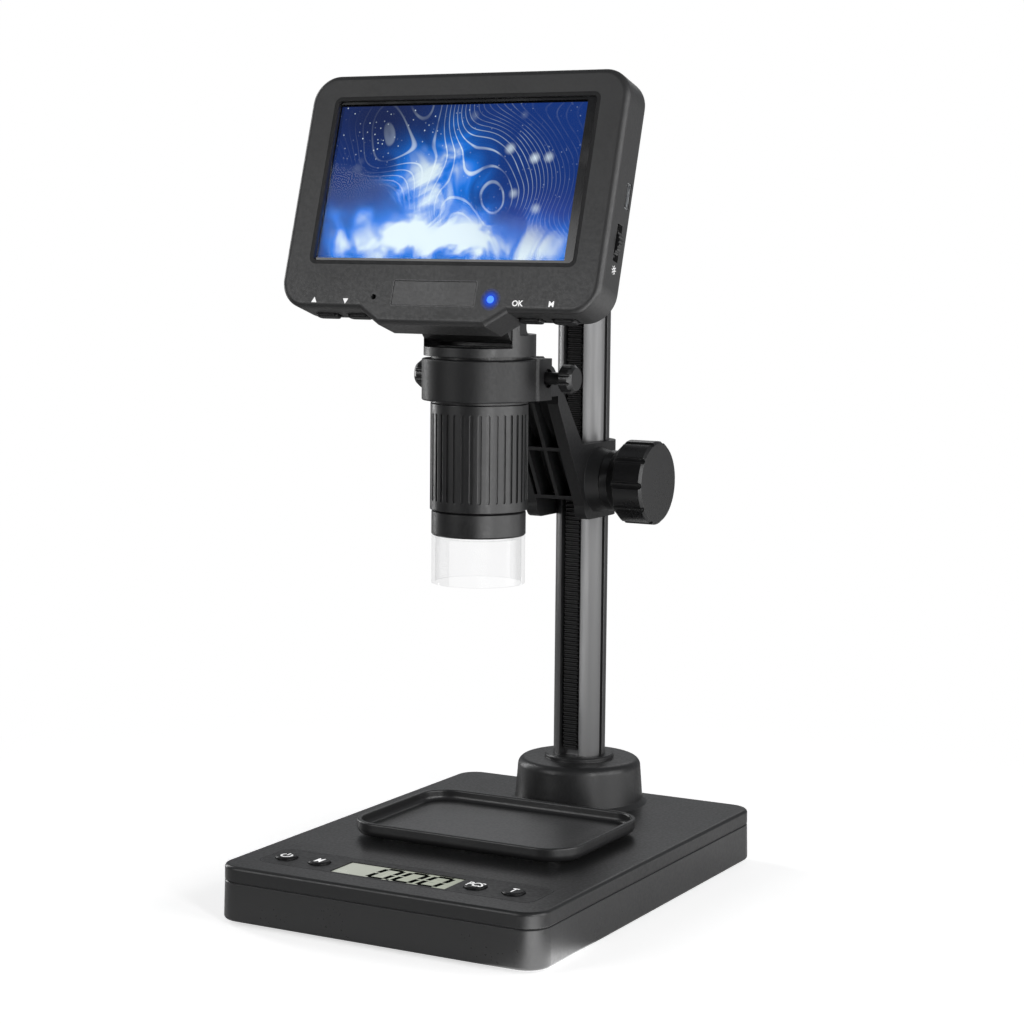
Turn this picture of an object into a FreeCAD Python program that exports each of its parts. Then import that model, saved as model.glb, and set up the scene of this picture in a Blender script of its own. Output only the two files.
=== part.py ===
import FreeCAD, Part
import math
import os
from FreeCAD import Vector

# All sizes are millimetres. X is to the right, Y to the back, Z up; the object stands on Z = 0.
# The origin is the middle of the base's outline, on the surface that the feet stand on.

# Base: outer sizes
foot_height = 1.0
foot_chamfer = 0.4
foot_radius = 6.0
foot_recess = 0.6
foot_from_side = 14.0
foot_from_end = 15.0
base_width = 124.4
base_depth = 172.8
base_corner_radius = 8.5
shell_height = 13.4
shell_draft = 0.35
lid_height = 5.5
seam_chamfer = 0.35
lid_edge_round = 1.3
shell_edge_round = 1.0
base_wall = 2.2
base_floor = 2.2
lid_plate = 2.0

# Base: case screws and bosses
case_screw_radius = 1.4
case_screw_head_radius = 2.6
case_screw_head_height = 1.8
case_screw_length = 11.0
case_screw_recess = 0.4
case_boss_radius = 3.6
case_screw_from_side = 13.0
case_screw_from_end = 34.0

# Control panel on the base
panel_side_margin = 9.2
panel_width = base_width - 2 * panel_side_margin
panel_depth = 19.6
panel_corner_radius = 4.0
panel_thickness = 0.4
panel_from_front = 11.2
panel_front_y = panel_from_front - base_depth / 2
panel_gap = 0.12
readout_width = 44.6
readout_depth = 14.4
readout_x = -1.6
readout_from_panel_front = 8.4
readout_y = panel_front_y + readout_from_panel_front
readout_below_panel = 0.3
readout_gap = 0.15
readout_flange = 1.8
scale_button_radius = 3.8
scale_button_rise = 0.8
scale_button_gap = 0.2
scale_button_flange = 1.0
scale_button_flange_height = 0.9
button_row_from_panel_front = 8.8
scale_button_row_y = panel_front_y + button_row_from_panel_front
power_from_panel_end = 6.9
mode_from_panel_end = 20.2
count_from_panel_end = 25.0
tare_from_panel_end = 10.8
scale_button_places = {
    "scale_button_power": power_from_panel_end - panel_width / 2,
    "scale_button_mode": mode_from_panel_end - panel_width / 2,
    "scale_button_count": panel_width / 2 - count_from_panel_end,
    "scale_button_tare": panel_width / 2 - tare_from_panel_end,
}
scale_button_travel = 0.5
scale_button_chamfer = 0.4
scale_board_thickness = 1.6
board_past_panel = 1.0
scale_board_width = panel_width + 2 * board_past_panel
scale_board_depth = 20.0
scale_board_below_lid = 2.9
board_post_radius = 1.8
board_post_inset = 3.0
switch_side = 5.0

# Weighing tray and load cell
tray_half_width = 44.1
tray_half_depth = 31.4
tray_y = -2.0
tray_corner_radius = 12.0
tray_height = 5.2
tray_wall = 1.8
tray_floor = 1.2
tray_edge_round = 2.6
tray_floor_round = 1.6
tray_rim_round = 0.6
tray_above_lid = 1.2
platform_width = 70.0
platform_depth = 46.0
platform_thickness = 1.0
platform_gap = 0.5
platform_corner_radius = 5.0
platform_clearance = 0.3
stem_corner_radius = 1.5
stem_side = 14.0
stem_hole_round = 2.0
stem_clearance = 1.5
load_cell_length = 60.0
load_cell_width = 12.0
load_cell_height = 6.0
load_cell_pad = 3.0
load_cell_end = 14.0
load_cell_hole_radius = 2.0
load_cell_hole_pitch = 12.0
bracket_plate = 1.6
bracket_pad = 1.0
cell_screw_radius = 1.5
cell_screw_head_radius = 2.7
cell_screw_head_height = 1.5
cell_screw_pitch = 8.0
cell_screw_grip = 4.0

# Battery compartment of the scale
battery_radius = 5.2
battery_length = 44.0
battery_from_side = 18.2
battery_x = battery_from_side - base_width / 2
battery_y = 8.0
battery_spacing = 11.0
battery_above_door = 0.4
door_width = 25.0
door_length = 50.0
door_thickness = 1.8
door_gap = 0.3
door_recess = 0.2
door_pin_radius = 0.6
door_pin_clearance = 0.05
door_pin_length = 1.6
battery_wall = 1.2
battery_wall_height = 8.0
contact_thickness = 0.4
contact_height = 7.0
door_grip_grooves = 4
door_grip_from_edge = 5.0
door_grip_width = 0.8
door_grip_half = 5.0
door_grip_depth = 0.4

# Column and pedestal
column_from_back = 24.15
column_y = base_depth / 2 - column_from_back
column_radius = 9.71
column_above_base = 203.0
column_core_radius = 2.5
column_groove_width = 8.0
column_groove_floor = 5.3
column_side_groove_width = 1.6
column_side_groove_depth = 1.2
column_side_groove_angle = 8.0
column_seat_above_floor = 2.2
pedestal_height = 16.8
pedestal_foot_radius = 25.75
pedestal_side_foot_radius = 24.1
pedestal_top_radius = 22.9
pedestal_round = 3.0
pedestal_flare = 1.7
pedestal_wall = 2.4
collar_radius = 13.0
collar_chamfer = 0.5
collar_height = 1.6
column_boss_radius = 13.5
column_screw_head_radius = 5.0
column_socket_depth = 1.2
column_screw_head_height = 1.8
column_screw_length = 20.0
cap_height = 3.0
cap_overhang = 0.5
cap_stem_length = 8.0
cap_chamfer = 1.0

# Rack and pinion
gear_module = 0.5
pinion_teeth = 12
rack_width = 5.6
rack_body = 1.8
rack_bottom_above_lid = 20.6
rack_top_below_column = 12.0
pressure_angle = 20.0
tooth_backlash = 0.08
pinion_width = 5.0
pinion_shaft_radius = 1.5
shaft_clearance = 0.06

# Carriage: sleeve on the column
slide_clearance = 0.06
sleeve_half_width = 12.1
cheek_thickness = 4.4
sleeve_bottom_z = 129.2
sleeve_top_z = 156.9
pinion_z = 143.3
boss_root_radius = 12.0
boss_tip_radius = 10.5
boss_length = 5.0
end_cap_radius = 6.0
end_cap_length = 5.0
end_cap_gap = 0.3
end_cap_chamfer = 1.0
left_boss_radius = 8.0
left_boss_length = 2.0

# Carriage: arm between sleeve and clamp ring
arm_top_z = 190.1
arm_reach = 78.94
barrel_y = column_y - arm_reach
arm_front_low = (column_y - 21.85, 134.4)
arm_front_high = (barrel_y + 35.29, 172.6)
arm_back_high = (barrel_y + 32.29, 185.4)
arm_back_low = (column_y - 23.95, 156.9)
arm_top_front_y = barrel_y + 23.69
arm_low_round = 4.0
arm_high_round = 5.0
arm_back_wall = 2.6
arm_rib = 1.3
arm_rib_places = (1.7, -5.6)
shelf_thickness = 1.3
arm_ring_web = 2.0
throat_clearance = 0.7
shelf_heights = (155.6, 137.2)

# Carriage: clamp ring
ring_radius = 19.9
ring_bottom_z = 175.6
ring_top_z = 189.9
ring_edge_round = 0.6
lug_half_width = 20.2
lug_front_y = barrel_y + 4.7
lug_back_y = barrel_y + 15.9
lug_corner_radius = 1.5
screw_y = barrel_y + 12.09
screw_z = 183.2
screw_radius = 2.2
screw_thread_clearance = 0.08
screw_recess_radius = 3.3
screw_recess_depth = 1.4
screw_tip_gap = 0.3
screw_knob_start = 26.2
screw_knob_radius = 5.0
screw_knob_length = 5.0
screw_knob_end_radius = 3.9
screw_knob_flutes = 10
screw_knob_flute_radius = 0.8

# Friction pad behind the column
friction_screw_radius = 2.0
friction_screw_z = 148.0
friction_pad_length = 1.2
friction_screw_head_radius = 3.4
friction_screw_head_height = 2.2
friction_screw_gap = 0.3

# Focus knob
knob_radius = 15.2
knob_face_x = 36.2
knob_rim_length = 12.2
knob_neck_radius = 11.0
knob_neck_start = 17.5
knob_neck_length = 2.9
knob_flutes = 10
knob_flute_depth = 1.0
knob_flute_radius = 1.3
knob_edge_chamfer = 0.9

# Optical tube
tube_radius = 16.84
tube_clearance = 0.06
tube_wall = 1.6
inner_tube_radius = 14.6
inner_tube_wall = 1.3
grip_top_z = 174.4
grip_bottom_z = 138.1
grip_rib_top_z = 171.3
grip_rib_bottom_z = 141.2
grip_ribs = 36
grip_flute_depth = 0.55
grip_flute_width = 1.15
grip_clearance = 0.08
part_gap = 0.35
nose_radius = 16.3
nose_bottom_z = 129.2
nose_top_z = 137.7
nose_ledge_z = 132.2
nose_bore_radius = 13.2
shield_radius = 16.2
shield_edge_chamfer = 0.5
shield_bottom_z = 112.5
shield_wall = 1.3
shield_spigot_length = 1.5
shield_spigot_gap = 0.15
guide_radius = 9.0
guide_wall = 1.3
guide_top_z = 161.0
guide_bottom_z = 133.6
guide_web = 1.6
lens_cell_clearance = 0.06
lens_cell_bottom_z = 138.0
lens_cell_height = 14.0
lens_cell_wall = 1.6
lens_radius = 6.6
lens_edge = 1.4
lens_crown = 1.3
lens_travel = 3.0
drive_pin_radius = 0.8
drive_pin_clearance = 0.25
lamp_ring_thickness = 1.2
lamp_count = 8
lamp_circle_radius = 10.4
lamp_size = 2.0
lamp_height = 0.9
lamp_ring_bore = 9.0
sensor_board_radius = 14.0
sensor_board_thickness = 1.6
sensor_board_z = 185.0
sensor_ledge = 1.6

# Tilt yoke on top of the tube
yoke_radius = 19.3
yoke_bottom_z = 190.9
yoke_floor = 3.0
yoke_back_wall_y = barrel_y + 3.2
yoke_bore_back = -6.0
yoke_cheek_top_z = 198.3
yoke_cheek_inner = 17.3
yoke_bore_radius = 4.0
tilt_axis_y = barrel_y - 5.31
tilt_axis_z = 201.5
ear_radius = 4.5
ear_outer = 18.5
ear_hollow = 2.6
knuckle_radius = 6.0
knuckle_gap = 0.3
hinge_pin_radius = 1.6
hinge_pin_clearance = 0.06
hinge_pin_inner = 11.0
hinge_pin_depth = 0.8

# Display head, in its own frame: x right, y back from the front face, z up from the window's middle
head_tilt = 16.87
head_y = tilt_axis_y - 14.8
head_z = 250.1
head_width = 121.9
head_top = 37.8
head_bottom = 45.0
head_corner_radius = 10.0
head_thickness = 14.25
head_front_round = 2.0
head_back_round = 1.6
head_wall = 2.0
front_plate = 2.2
bezel_depth = 12.2
chin_depth = 5.0
chin_top_half = 28.4
chin_bottom_half = 20.6
window_width = 99.7
window_height = 56.8
window_corner_radius = 1.5
window_below_face = 0.9
window_thickness = 1.3
window_gap = 0.12
active_width = 95.04
active_round = 0.5
active_gap = 1.0
active_height = 53.86
active_x = -1.8
panel_outline_width = 103.0
panel_outline_height = 62.0
panel_outline_z = -1.0
lcd_thickness = 4.8
board_thickness = 1.6
board_side_gap = 3.0
board_low = -33.0
board_high = 31.0
name_plate_width = 31.7
name_plate_round = 0.6
name_plate_height = 8.4
name_plate_z = -39.3
name_plate_thickness = 0.45
name_plate_recess = 0.6
name_plate_gap = 0.1
indicator_radius = 1.3
indicator_round = 0.2
indicator_x = 21.8
indicator_z = -41.0
reset_hole_radius = 0.9
reset_hole_x = -23.0
reset_hole_z = -40.9

# Display head: buttons under the chin side, wheel, sockets
head_button_length = 8.8
key_cap_round = 0.5
head_button_width = 3.8
head_button_depth_place = 9.4
head_button_rise = 1.1
head_button_gap = 0.2
head_button_flange = 0.8
head_button_flange_height = 1.0
outer_button_from_side = 15.35
inner_button_from_side = 27.95
head_button_places = {
    "head_button_up": outer_button_from_side - head_width / 2,
    "head_button_down": inner_button_from_side - head_width / 2,
    "head_button_enter": head_width / 2 - inner_button_from_side,
    "head_button_menu": head_width / 2 - outer_button_from_side,
}
wheel_radius = 6.0
wheel_thickness = 2.4
wheel_proud = 1.25
wheel_z = -19.2
wheel_place = 7.8
wheel_slot_length = 12.4
wheel_slot_width = 3.6
wheel_axle_radius = 0.95
wheel_axle_clearance = 0.06
wheel_post_radius = 2.0
wheel_teeth = 24
wheel_tooth_depth = 0.3
port_width = 8.9
port_height = 3.2
port_length = 7.4
port_shell = 0.35
port_z = -2.6
port_gap = 0.15
port_inset = 0.3
card_slot_width = 12.0
card_slot_height = 1.8
card_slot_length = 14.0
card_slot_z = 6.0
card_slot_gap = 0.15
card_slot_shell = 0.3
rear_box_width = 50.0
rear_box_low = -36.5
rear_box_high = 20.0
rear_box_depth = 31.0
rear_box_corner_radius = 6.0
rear_box_round = 3.0
pack_width = 40.0
pack_round = 3.0
pack_height = 46.0
pack_thickness = 8.0
head_screw_radius = 0.9
head_screw_head_radius = 1.8
head_screw_head_height = 1.2
head_screw_length = 8.0
head_screw_from_side = 4.95
head_screw_x = head_width / 2 - head_screw_from_side
head_screw_high = 31.5
head_screw_low = -38.6
head_post_radius = 2.2

# Heights that follow from the sizes above
shell_bottom_z = foot_height
seam_z = shell_bottom_z + shell_height
lid_top_z = seam_z + lid_height
lid_under_z = lid_top_z - lid_plate
floor_top_z = shell_bottom_z + base_floor
pedestal_top_z = lid_top_z + pedestal_height
column_bottom_z = floor_top_z + column_seat_above_floor
column_top_z = lid_top_z + column_above_base
rack_tip_y = column_y - column_groove_floor - rack_body - 2.25 * gear_module
rack_pitch_y = rack_tip_y + gear_module
pinion_radius = gear_module * pinion_teeth / 2.0
pinion_y = rack_pitch_y - pinion_radius
tooth_pitch = math.pi * gear_module
X_AXIS = Vector(1, 0, 0)
Z_AXIS = Vector(0, 0, 1)
ORIGIN = Vector(0, 0, 0)


def block(x0, x1, y0, y1, z0, z1):
    return Part.makeBox(x1 - x0, y1 - y0, z1 - z0, Vector(x0, y0, z0))


def rod(radius, start, end):
    path = end - start
    return Part.makeCylinder(radius, path.Length, start, path)


def disc(radius, x, y, z0, z1):
    return rod(radius, Vector(x, y, z0), Vector(x, y, z1))


def tube(outer, inner, x, y, z0, z1):
    return disc(outer, x, y, z0, z1).cut(disc(inner, x, y, z0, z1))


def rounded_wire(width, depth, radius, cx=0.0, cy=0.0, z=0.0):
    edges = []
    corners = ((1, -1, -90), (1, 1, 0), (-1, 1, 90), (-1, -1, 180))
    points = []
    for sx, sy, start in corners:
        centre = Vector(cx + sx * (width / 2 - radius), cy + sy * (depth / 2 - radius), z)
        circle = Part.Circle(centre, Z_AXIS, radius)
        arc = Part.ArcOfCircle(circle, math.radians(start), math.radians(start + 90))
        points.append((arc.StartPoint, arc.EndPoint))
        edges.append(arc.toShape())
    for i in range(4):
        edges.append(Part.LineSegment(points[i][1], points[(i + 1) % 4][0]).toShape())
    return Part.Wire(Part.__sortEdges__(edges))


def plate(width, depth, radius, z0, z1, cx=0.0, cy=0.0):
    face = Part.Face(rounded_wire(width, depth, radius, cx, cy, z0))
    return face.extrude(Vector(0, 0, z1 - z0))


def upright(width, height, radius, y0, y1, cx=0.0, cz=0.0):
    """A rounded plate that stands in the X-Z plane, from y0 to y1."""
    flat = plate(width, height, radius, -y1, -y0, cx, cz)
    flat.rotate(ORIGIN, X_AXIS, 90)
    return flat


def polygon_prism(points, direction):
    wire = Part.makePolygon(points + [points[0]])
    return Part.Face(wire).extrude(direction)


def fuse_all(shapes):
    whole = shapes[0]
    for shape in shapes[1:]:
        whole = whole.fuse(shape)
    return whole.removeSplitter()


def edges_where(shape, test):
    return [edge for edge in shape.Edges if test(edge.BoundBox)]


def revolve_about_z(points, x, y):
    """Turn a half profile of (radius, z) points about a vertical axis."""
    corners = [Vector(x + r, y, z) for r, z in points]
    face = Part.Face(Part.makePolygon(corners + [corners[0]]))
    return face.revolve(Vector(x, y, 0), Z_AXIS, 360)


def revolve_about_x(points, y, z):
    """Turn a half profile of (x, radius) points about an axis along X."""
    corners = [Vector(x, y, z + r) for x, r in points]
    face = Part.Face(Part.makePolygon(corners + [corners[0]]))
    return face.revolve(Vector(0, y, z), X_AXIS, 360)


def mirrored(shape):
    return shape.mirror(ORIGIN, X_AXIS)


def head_place(shape):
    """Move a shape from the head's own frame to its place on the object."""
    placed = shape.copy()
    placed.rotate(ORIGIN, X_AXIS, -head_tilt)
    placed.translate(Vector(0, head_y, head_z))
    return placed


def head_coordinates(y, z):
    """The head's own depth and height of a point of the object."""
    turn = math.radians(head_tilt)
    dy = y - head_y
    dz = z - head_z
    return dy * math.cos(turn) - dz * math.sin(turn), dy * math.sin(turn) + dz * math.cos(turn)


# Base
def corner_places(from_side, from_end):
    x = base_width / 2 - from_side
    y = base_depth / 2 - from_end
    return [(sx * x, sy * y) for sx in (-1, 1) for sy in (-1, 1)]


def base_lower_shell():
    low = rounded_wire(base_width, base_depth, base_corner_radius, z=shell_bottom_z)
    top_width = base_width - 2 * shell_draft
    top_depth = base_depth - 2 * shell_draft
    high = rounded_wire(top_width, top_depth, base_corner_radius - shell_draft, z=seam_z)
    body = Part.makeLoft([low, high], True, True)
    body = body.makeFillet(shell_edge_round, edges_where(body, lambda b: b.ZMax < shell_bottom_z + 0.01))
    body = body.makeChamfer(seam_chamfer, edges_where(body, lambda b: b.ZMin > seam_z - 0.01))
    inner = plate(top_width - 2 * base_wall, top_depth - 2 * base_wall,
                  base_corner_radius - base_wall, floor_top_z, seam_z + 1)
    body = body.cut(inner)
    bosses = [disc(case_boss_radius, x, y, floor_top_z, seam_z)
              for x, y in corner_places(case_screw_from_side, case_screw_from_end)]
    bosses.append(disc(column_boss_radius, 0, column_y, floor_top_z, column_bottom_z))
    cell_back_y = tray_y + load_cell_length / 2
    bosses.append(block(-load_cell_width / 2, load_cell_width / 2, cell_back_y - load_cell_end, cell_back_y,
                        floor_top_z, floor_top_z + load_cell_pad))
    wall_half = battery_spacing / 2 + battery_radius + battery_wall
    for sy in (-1, 1):
        near = battery_y + sy * (battery_length / 2 + contact_thickness)
        far = near + sy * battery_wall
        bosses.append(block(battery_x - wall_half, battery_x + wall_half, min(near, far), max(near, far),
                            shell_bottom_z, floor_top_z + battery_wall_height))
    body = fuse_all([body] + bosses)
    cuts = []
    for x, y in corner_places(foot_from_side, foot_from_end):
        cuts.append(disc(foot_radius, x, y, shell_bottom_z, shell_bottom_z + foot_recess))
    for x, y in corner_places(case_screw_from_side, case_screw_from_end):
        head_top = shell_bottom_z + case_screw_recess + case_screw_head_height
        cuts.append(disc(case_screw_head_radius, x, y, shell_bottom_z, head_top))
        cuts.append(disc(case_screw_radius, x, y, head_top, seam_z))
    screw_head_top = shell_bottom_z + column_screw_head_height
    cuts.append(disc(column_screw_head_radius, 0, column_y, shell_bottom_z, screw_head_top))
    cuts.append(disc(column_core_radius, 0, column_y, screw_head_top, column_bottom_z))
    for y in cell_screw_places(back=True):
        cuts.append(disc(cell_screw_head_radius, 0, y, shell_bottom_z,
                         shell_bottom_z + cell_screw_head_height))
        cuts.append(disc(cell_screw_radius, 0, y, shell_bottom_z, floor_top_z + load_cell_pad))
    cuts.append(block(battery_x - door_width / 2, battery_x + door_width / 2, battery_y - door_length / 2,
                      battery_y + door_length / 2, shell_bottom_z, floor_top_z))
    pin_y, pin_z = door_pin_place()
    reach = door_width / 2 + door_pin_length
    cuts.append(rod(door_pin_radius + door_pin_clearance, Vector(battery_x - reach, pin_y, pin_z),
                    Vector(battery_x + reach, pin_y, pin_z)))
    for shape in cuts:
        body = body.cut(shape)
    return body


def base_screws():
    screws = []
    for x, y in corner_places(case_screw_from_side, case_screw_from_end):
        start = shell_bottom_z + case_screw_recess
        head = disc(case_screw_head_radius, x, y, start, start + case_screw_head_height)
        shank_end = start + case_screw_head_height + case_screw_length
        shank = disc(case_screw_radius, x, y, start + case_screw_head_height, shank_end)
        slot = block(x - case_screw_head_radius, x + case_screw_head_radius, y - 0.3, y + 0.3, start,
                     start + 0.6)
        screws.append(head.fuse(shank).removeSplitter().cut(slot))
    return Part.makeCompound(screws)


def rubber_feet():
    feet = []
    for x, y in corner_places(foot_from_side, foot_from_end):
        foot = disc(foot_radius, x, y, 0, shell_bottom_z + foot_recess)
        feet.append(foot.makeChamfer(foot_chamfer, edges_where(foot, lambda b: b.ZMax < 0.01)))
    return Part.makeCompound(feet)


def base_top_cover():
    top_width = base_width - 2 * shell_draft
    top_depth = base_depth - 2 * shell_draft
    radius = base_corner_radius - shell_draft
    body = plate(top_width, top_depth, radius, seam_z, lid_top_z)
    body = body.makeFillet(lid_edge_round, edges_where(body, lambda b: b.ZMin > lid_top_z - 0.01))
    body = body.makeChamfer(seam_chamfer, edges_where(body, lambda b: b.ZMax < seam_z + 0.01))
    inner = plate(top_width - 2 * base_wall, top_depth - 2 * base_wall, radius - base_wall, seam_z - 1,
                  lid_under_z)
    body = body.cut(inner)
    profile = [
        (0, lid_under_z),
        (pedestal_foot_radius, lid_under_z),
        (pedestal_foot_radius, lid_top_z),
        (pedestal_side_foot_radius, lid_top_z + pedestal_flare),
        (pedestal_top_radius, pedestal_top_z),
        (0, pedestal_top_z),
    ]
    pedestal = revolve_about_z(profile, 0, column_y)
    pedestal = pedestal.makeFillet(pedestal_round, edges_where(
        pedestal, lambda b: b.ZMin > pedestal_top_z - 0.01 and b.XLength > pedestal_top_radius))
    collar = disc(collar_radius, 0, column_y, pedestal_top_z, pedestal_top_z + collar_height)
    collar = collar.makeChamfer(collar_chamfer, edges_where(collar,
                                                 lambda b: b.ZMin > pedestal_top_z + collar_height - 0.01))
    back_limit = top_depth / 2
    behind = block(-base_width, base_width, back_limit, back_limit + base_width, 0, pedestal_top_z + 10)
    pedestal = pedestal.fuse(collar).removeSplitter().cut(behind)
    hollow = revolve_about_z([
        (column_radius + pedestal_wall, lid_under_z - 1),
        (pedestal_side_foot_radius - pedestal_wall, lid_under_z - 1),
        (pedestal_top_radius - pedestal_wall, pedestal_top_z - pedestal_wall),
        (column_radius + pedestal_wall, pedestal_top_z - pedestal_wall),
    ], 0, column_y)
    wall_limit = back_limit - base_wall
    hollow = hollow.cut(block(-base_width, base_width, wall_limit, wall_limit + base_width, 0,
                              pedestal_top_z))
    body = body.fuse(pedestal).removeSplitter().cut(hollow)
    posts = [disc(case_boss_radius, x, y, seam_z, lid_under_z)
             for x, y in corner_places(case_screw_from_side, case_screw_from_end)]
    board_z = lid_under_z - scale_board_below_lid
    post_x = scale_board_width / 2 - board_post_inset
    post_y = scale_board_depth / 2 - board_post_inset
    panel_y = panel_front_y + panel_depth / 2
    for sx in (-1, 1):
        for sy in (-1, 1):
            posts.append(disc(board_post_radius, sx * post_x, panel_y + sy * post_y, board_z, lid_under_z))
    body = fuse_all([body] + posts)
    cuts = [disc(column_radius, 0, column_y, lid_under_z - 1, pedestal_top_z + collar_height + 1)]
    recess = lid_top_z - panel_thickness
    cuts.append(plate(panel_width + 2 * panel_gap, panel_depth + 2 * panel_gap,
                      panel_corner_radius + panel_gap,
                      recess, lid_top_z + 1, 0, panel_y))
    cuts.append(block(
        readout_x - readout_width / 2, readout_x + readout_width / 2, readout_y - readout_depth / 2,
        readout_y + readout_depth / 2, lid_under_z - 1, lid_top_z))
    for x in scale_button_places.values():
        cuts.append(disc(scale_button_radius + scale_button_gap, x, scale_button_row_y, lid_under_z - 1,
                         lid_top_z))
    hole = stem_side + 2 * stem_clearance
    cuts.append(plate(hole, hole, stem_hole_round, lid_under_z - 1, lid_top_z + 1, 0, tray_y))
    for x, y in corner_places(case_screw_from_side, case_screw_from_end):
        cuts.append(disc(case_screw_radius, x, y, seam_z - 1, seam_z + 1.2))
    for shape in cuts:
        body = body.cut(shape)
    return body


def control_panel():
    panel_y = panel_front_y + panel_depth / 2
    body = plate(panel_width, panel_depth, panel_corner_radius, lid_top_z - panel_thickness, lid_top_z, 0,
                 panel_y)
    body = body.cut(block(readout_x - readout_width / 2, readout_x + readout_width / 2,
                          readout_y - readout_depth / 2, readout_y + readout_depth / 2, 0, lid_top_z + 1))
    for x in scale_button_places.values():
        body = body.cut(disc(scale_button_radius + scale_button_gap, x, scale_button_row_y, 0,
                             lid_top_z + 1))
    return body


def scale_readout():
    board_top = lid_under_z - scale_board_below_lid
    width = readout_width - 2 * readout_gap
    depth = readout_depth - 2 * readout_gap
    glass = block(readout_x - width / 2, readout_x + width / 2, readout_y - depth / 2,
                  readout_y + depth / 2,
                  board_top, lid_top_z - readout_below_panel)
    flange_top = lid_under_z - readout_gap
    flange = block(readout_x - width / 2 - readout_flange, readout_x + width / 2 + readout_flange,
                   readout_y - depth / 2, readout_y + depth / 2, board_top, flange_top)
    return glass.fuse(flange).removeSplitter()


def scale_board():
    top = lid_under_z - scale_board_below_lid
    panel_y = panel_front_y + panel_depth / 2
    shapes = [block(-scale_board_width / 2, scale_board_width / 2, panel_y - scale_board_depth / 2,
                    panel_y + scale_board_depth / 2, top - scale_board_thickness, top)]
    switch_top = lid_under_z - scale_button_flange_height - scale_button_travel - 0.15
    for x in scale_button_places.values():
        shapes.append(block(x - switch_side / 2, x + switch_side / 2, scale_button_row_y - switch_side / 2,
                            scale_button_row_y + switch_side / 2, top, switch_top))
    return fuse_all(shapes)


def scale_button(x):
    flange_bottom = lid_under_z - scale_button_flange_height
    cap = disc(scale_button_radius, x, scale_button_row_y, flange_bottom, lid_top_z + scale_button_rise)
    cap = cap.makeChamfer(scale_button_chamfer, edges_where(
        cap, lambda b: b.ZMin > lid_top_z + scale_button_rise - 0.01))
    flange = disc(scale_button_radius + scale_button_flange, x, scale_button_row_y, flange_bottom,
                  lid_under_z)
    return cap.fuse(flange).removeSplitter()


def cell_screw_places(back):
    sign = 1 if back else -1
    centre = tray_y + sign * (load_cell_length - load_cell_end) / 2
    return (centre - cell_screw_pitch / 2, centre + cell_screw_pitch / 2)


def load_cell():
    bottom = floor_top_z + load_cell_pad
    top = bottom + load_cell_height
    half = load_cell_width / 2
    body = block(-half, half, tray_y - load_cell_length / 2, tray_y + load_cell_length / 2, bottom, top)
    middle = (bottom + top) / 2
    for sy in (-1, 1):
        y = tray_y + sy * load_cell_hole_pitch / 2
        body = body.cut(rod(load_cell_hole_radius, Vector(-half - 1, y, middle), Vector(half + 1, y,
                                                                                        middle)))
    body = body.cut(block(-half - 1, half + 1, tray_y - load_cell_hole_pitch / 2,
                          tray_y + load_cell_hole_pitch / 2,
                          middle - 0.6, middle + 0.6))
    for y in cell_screw_places(back=True):
        body = body.cut(disc(cell_screw_radius, 0, y, bottom - 1, bottom + cell_screw_grip))
    for y in cell_screw_places(back=False):
        body = body.cut(disc(cell_screw_radius, 0, y, top - cell_screw_grip, top + 1))
    return body


def load_cell_screws():
    screws = []
    cell_bottom = floor_top_z + load_cell_pad
    cell_top = cell_bottom + load_cell_height
    for y in cell_screw_places(back=True):
        head = disc(cell_screw_head_radius, 0, y, shell_bottom_z + 0.2,
                    shell_bottom_z + cell_screw_head_height)
        shank = disc(cell_screw_radius, 0, y, shell_bottom_z + 0.2, cell_bottom + cell_screw_grip)
        screws.append(head.fuse(shank).removeSplitter())
    bracket_top = cell_top + bracket_pad + bracket_plate
    for y in cell_screw_places(back=False):
        head = disc(cell_screw_head_radius, 0, y, bracket_top, bracket_top + cell_screw_head_height)
        shank = disc(cell_screw_radius, 0, y, cell_top - cell_screw_grip, bracket_top)
        screws.append(head.fuse(shank).removeSplitter())
    return Part.makeCompound(screws)


def platform_support():
    cell_top = floor_top_z + load_cell_pad + load_cell_height
    front = tray_y - load_cell_length / 2
    half = load_cell_width / 2
    pad = block(-half, half, front, front + load_cell_end, cell_top, cell_top + bracket_pad)
    arm = block(-half, half, front, tray_y + stem_side / 2, cell_top + bracket_pad,
                cell_top + bracket_pad + bracket_plate)
    top_low = lid_top_z + platform_gap
    stem = plate(stem_side, stem_side, stem_corner_radius, cell_top + bracket_pad, top_low, 0, tray_y)
    top = plate(platform_width, platform_depth, platform_corner_radius, top_low,
                top_low + platform_thickness,
                0, tray_y)
    body = fuse_all([pad, arm, stem, top])
    for y in cell_screw_places(back=False):
        body = body.cut(disc(cell_screw_radius, 0, y, cell_top - 1,
                             cell_top + bracket_pad + bracket_plate + 1))
    return body


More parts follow.
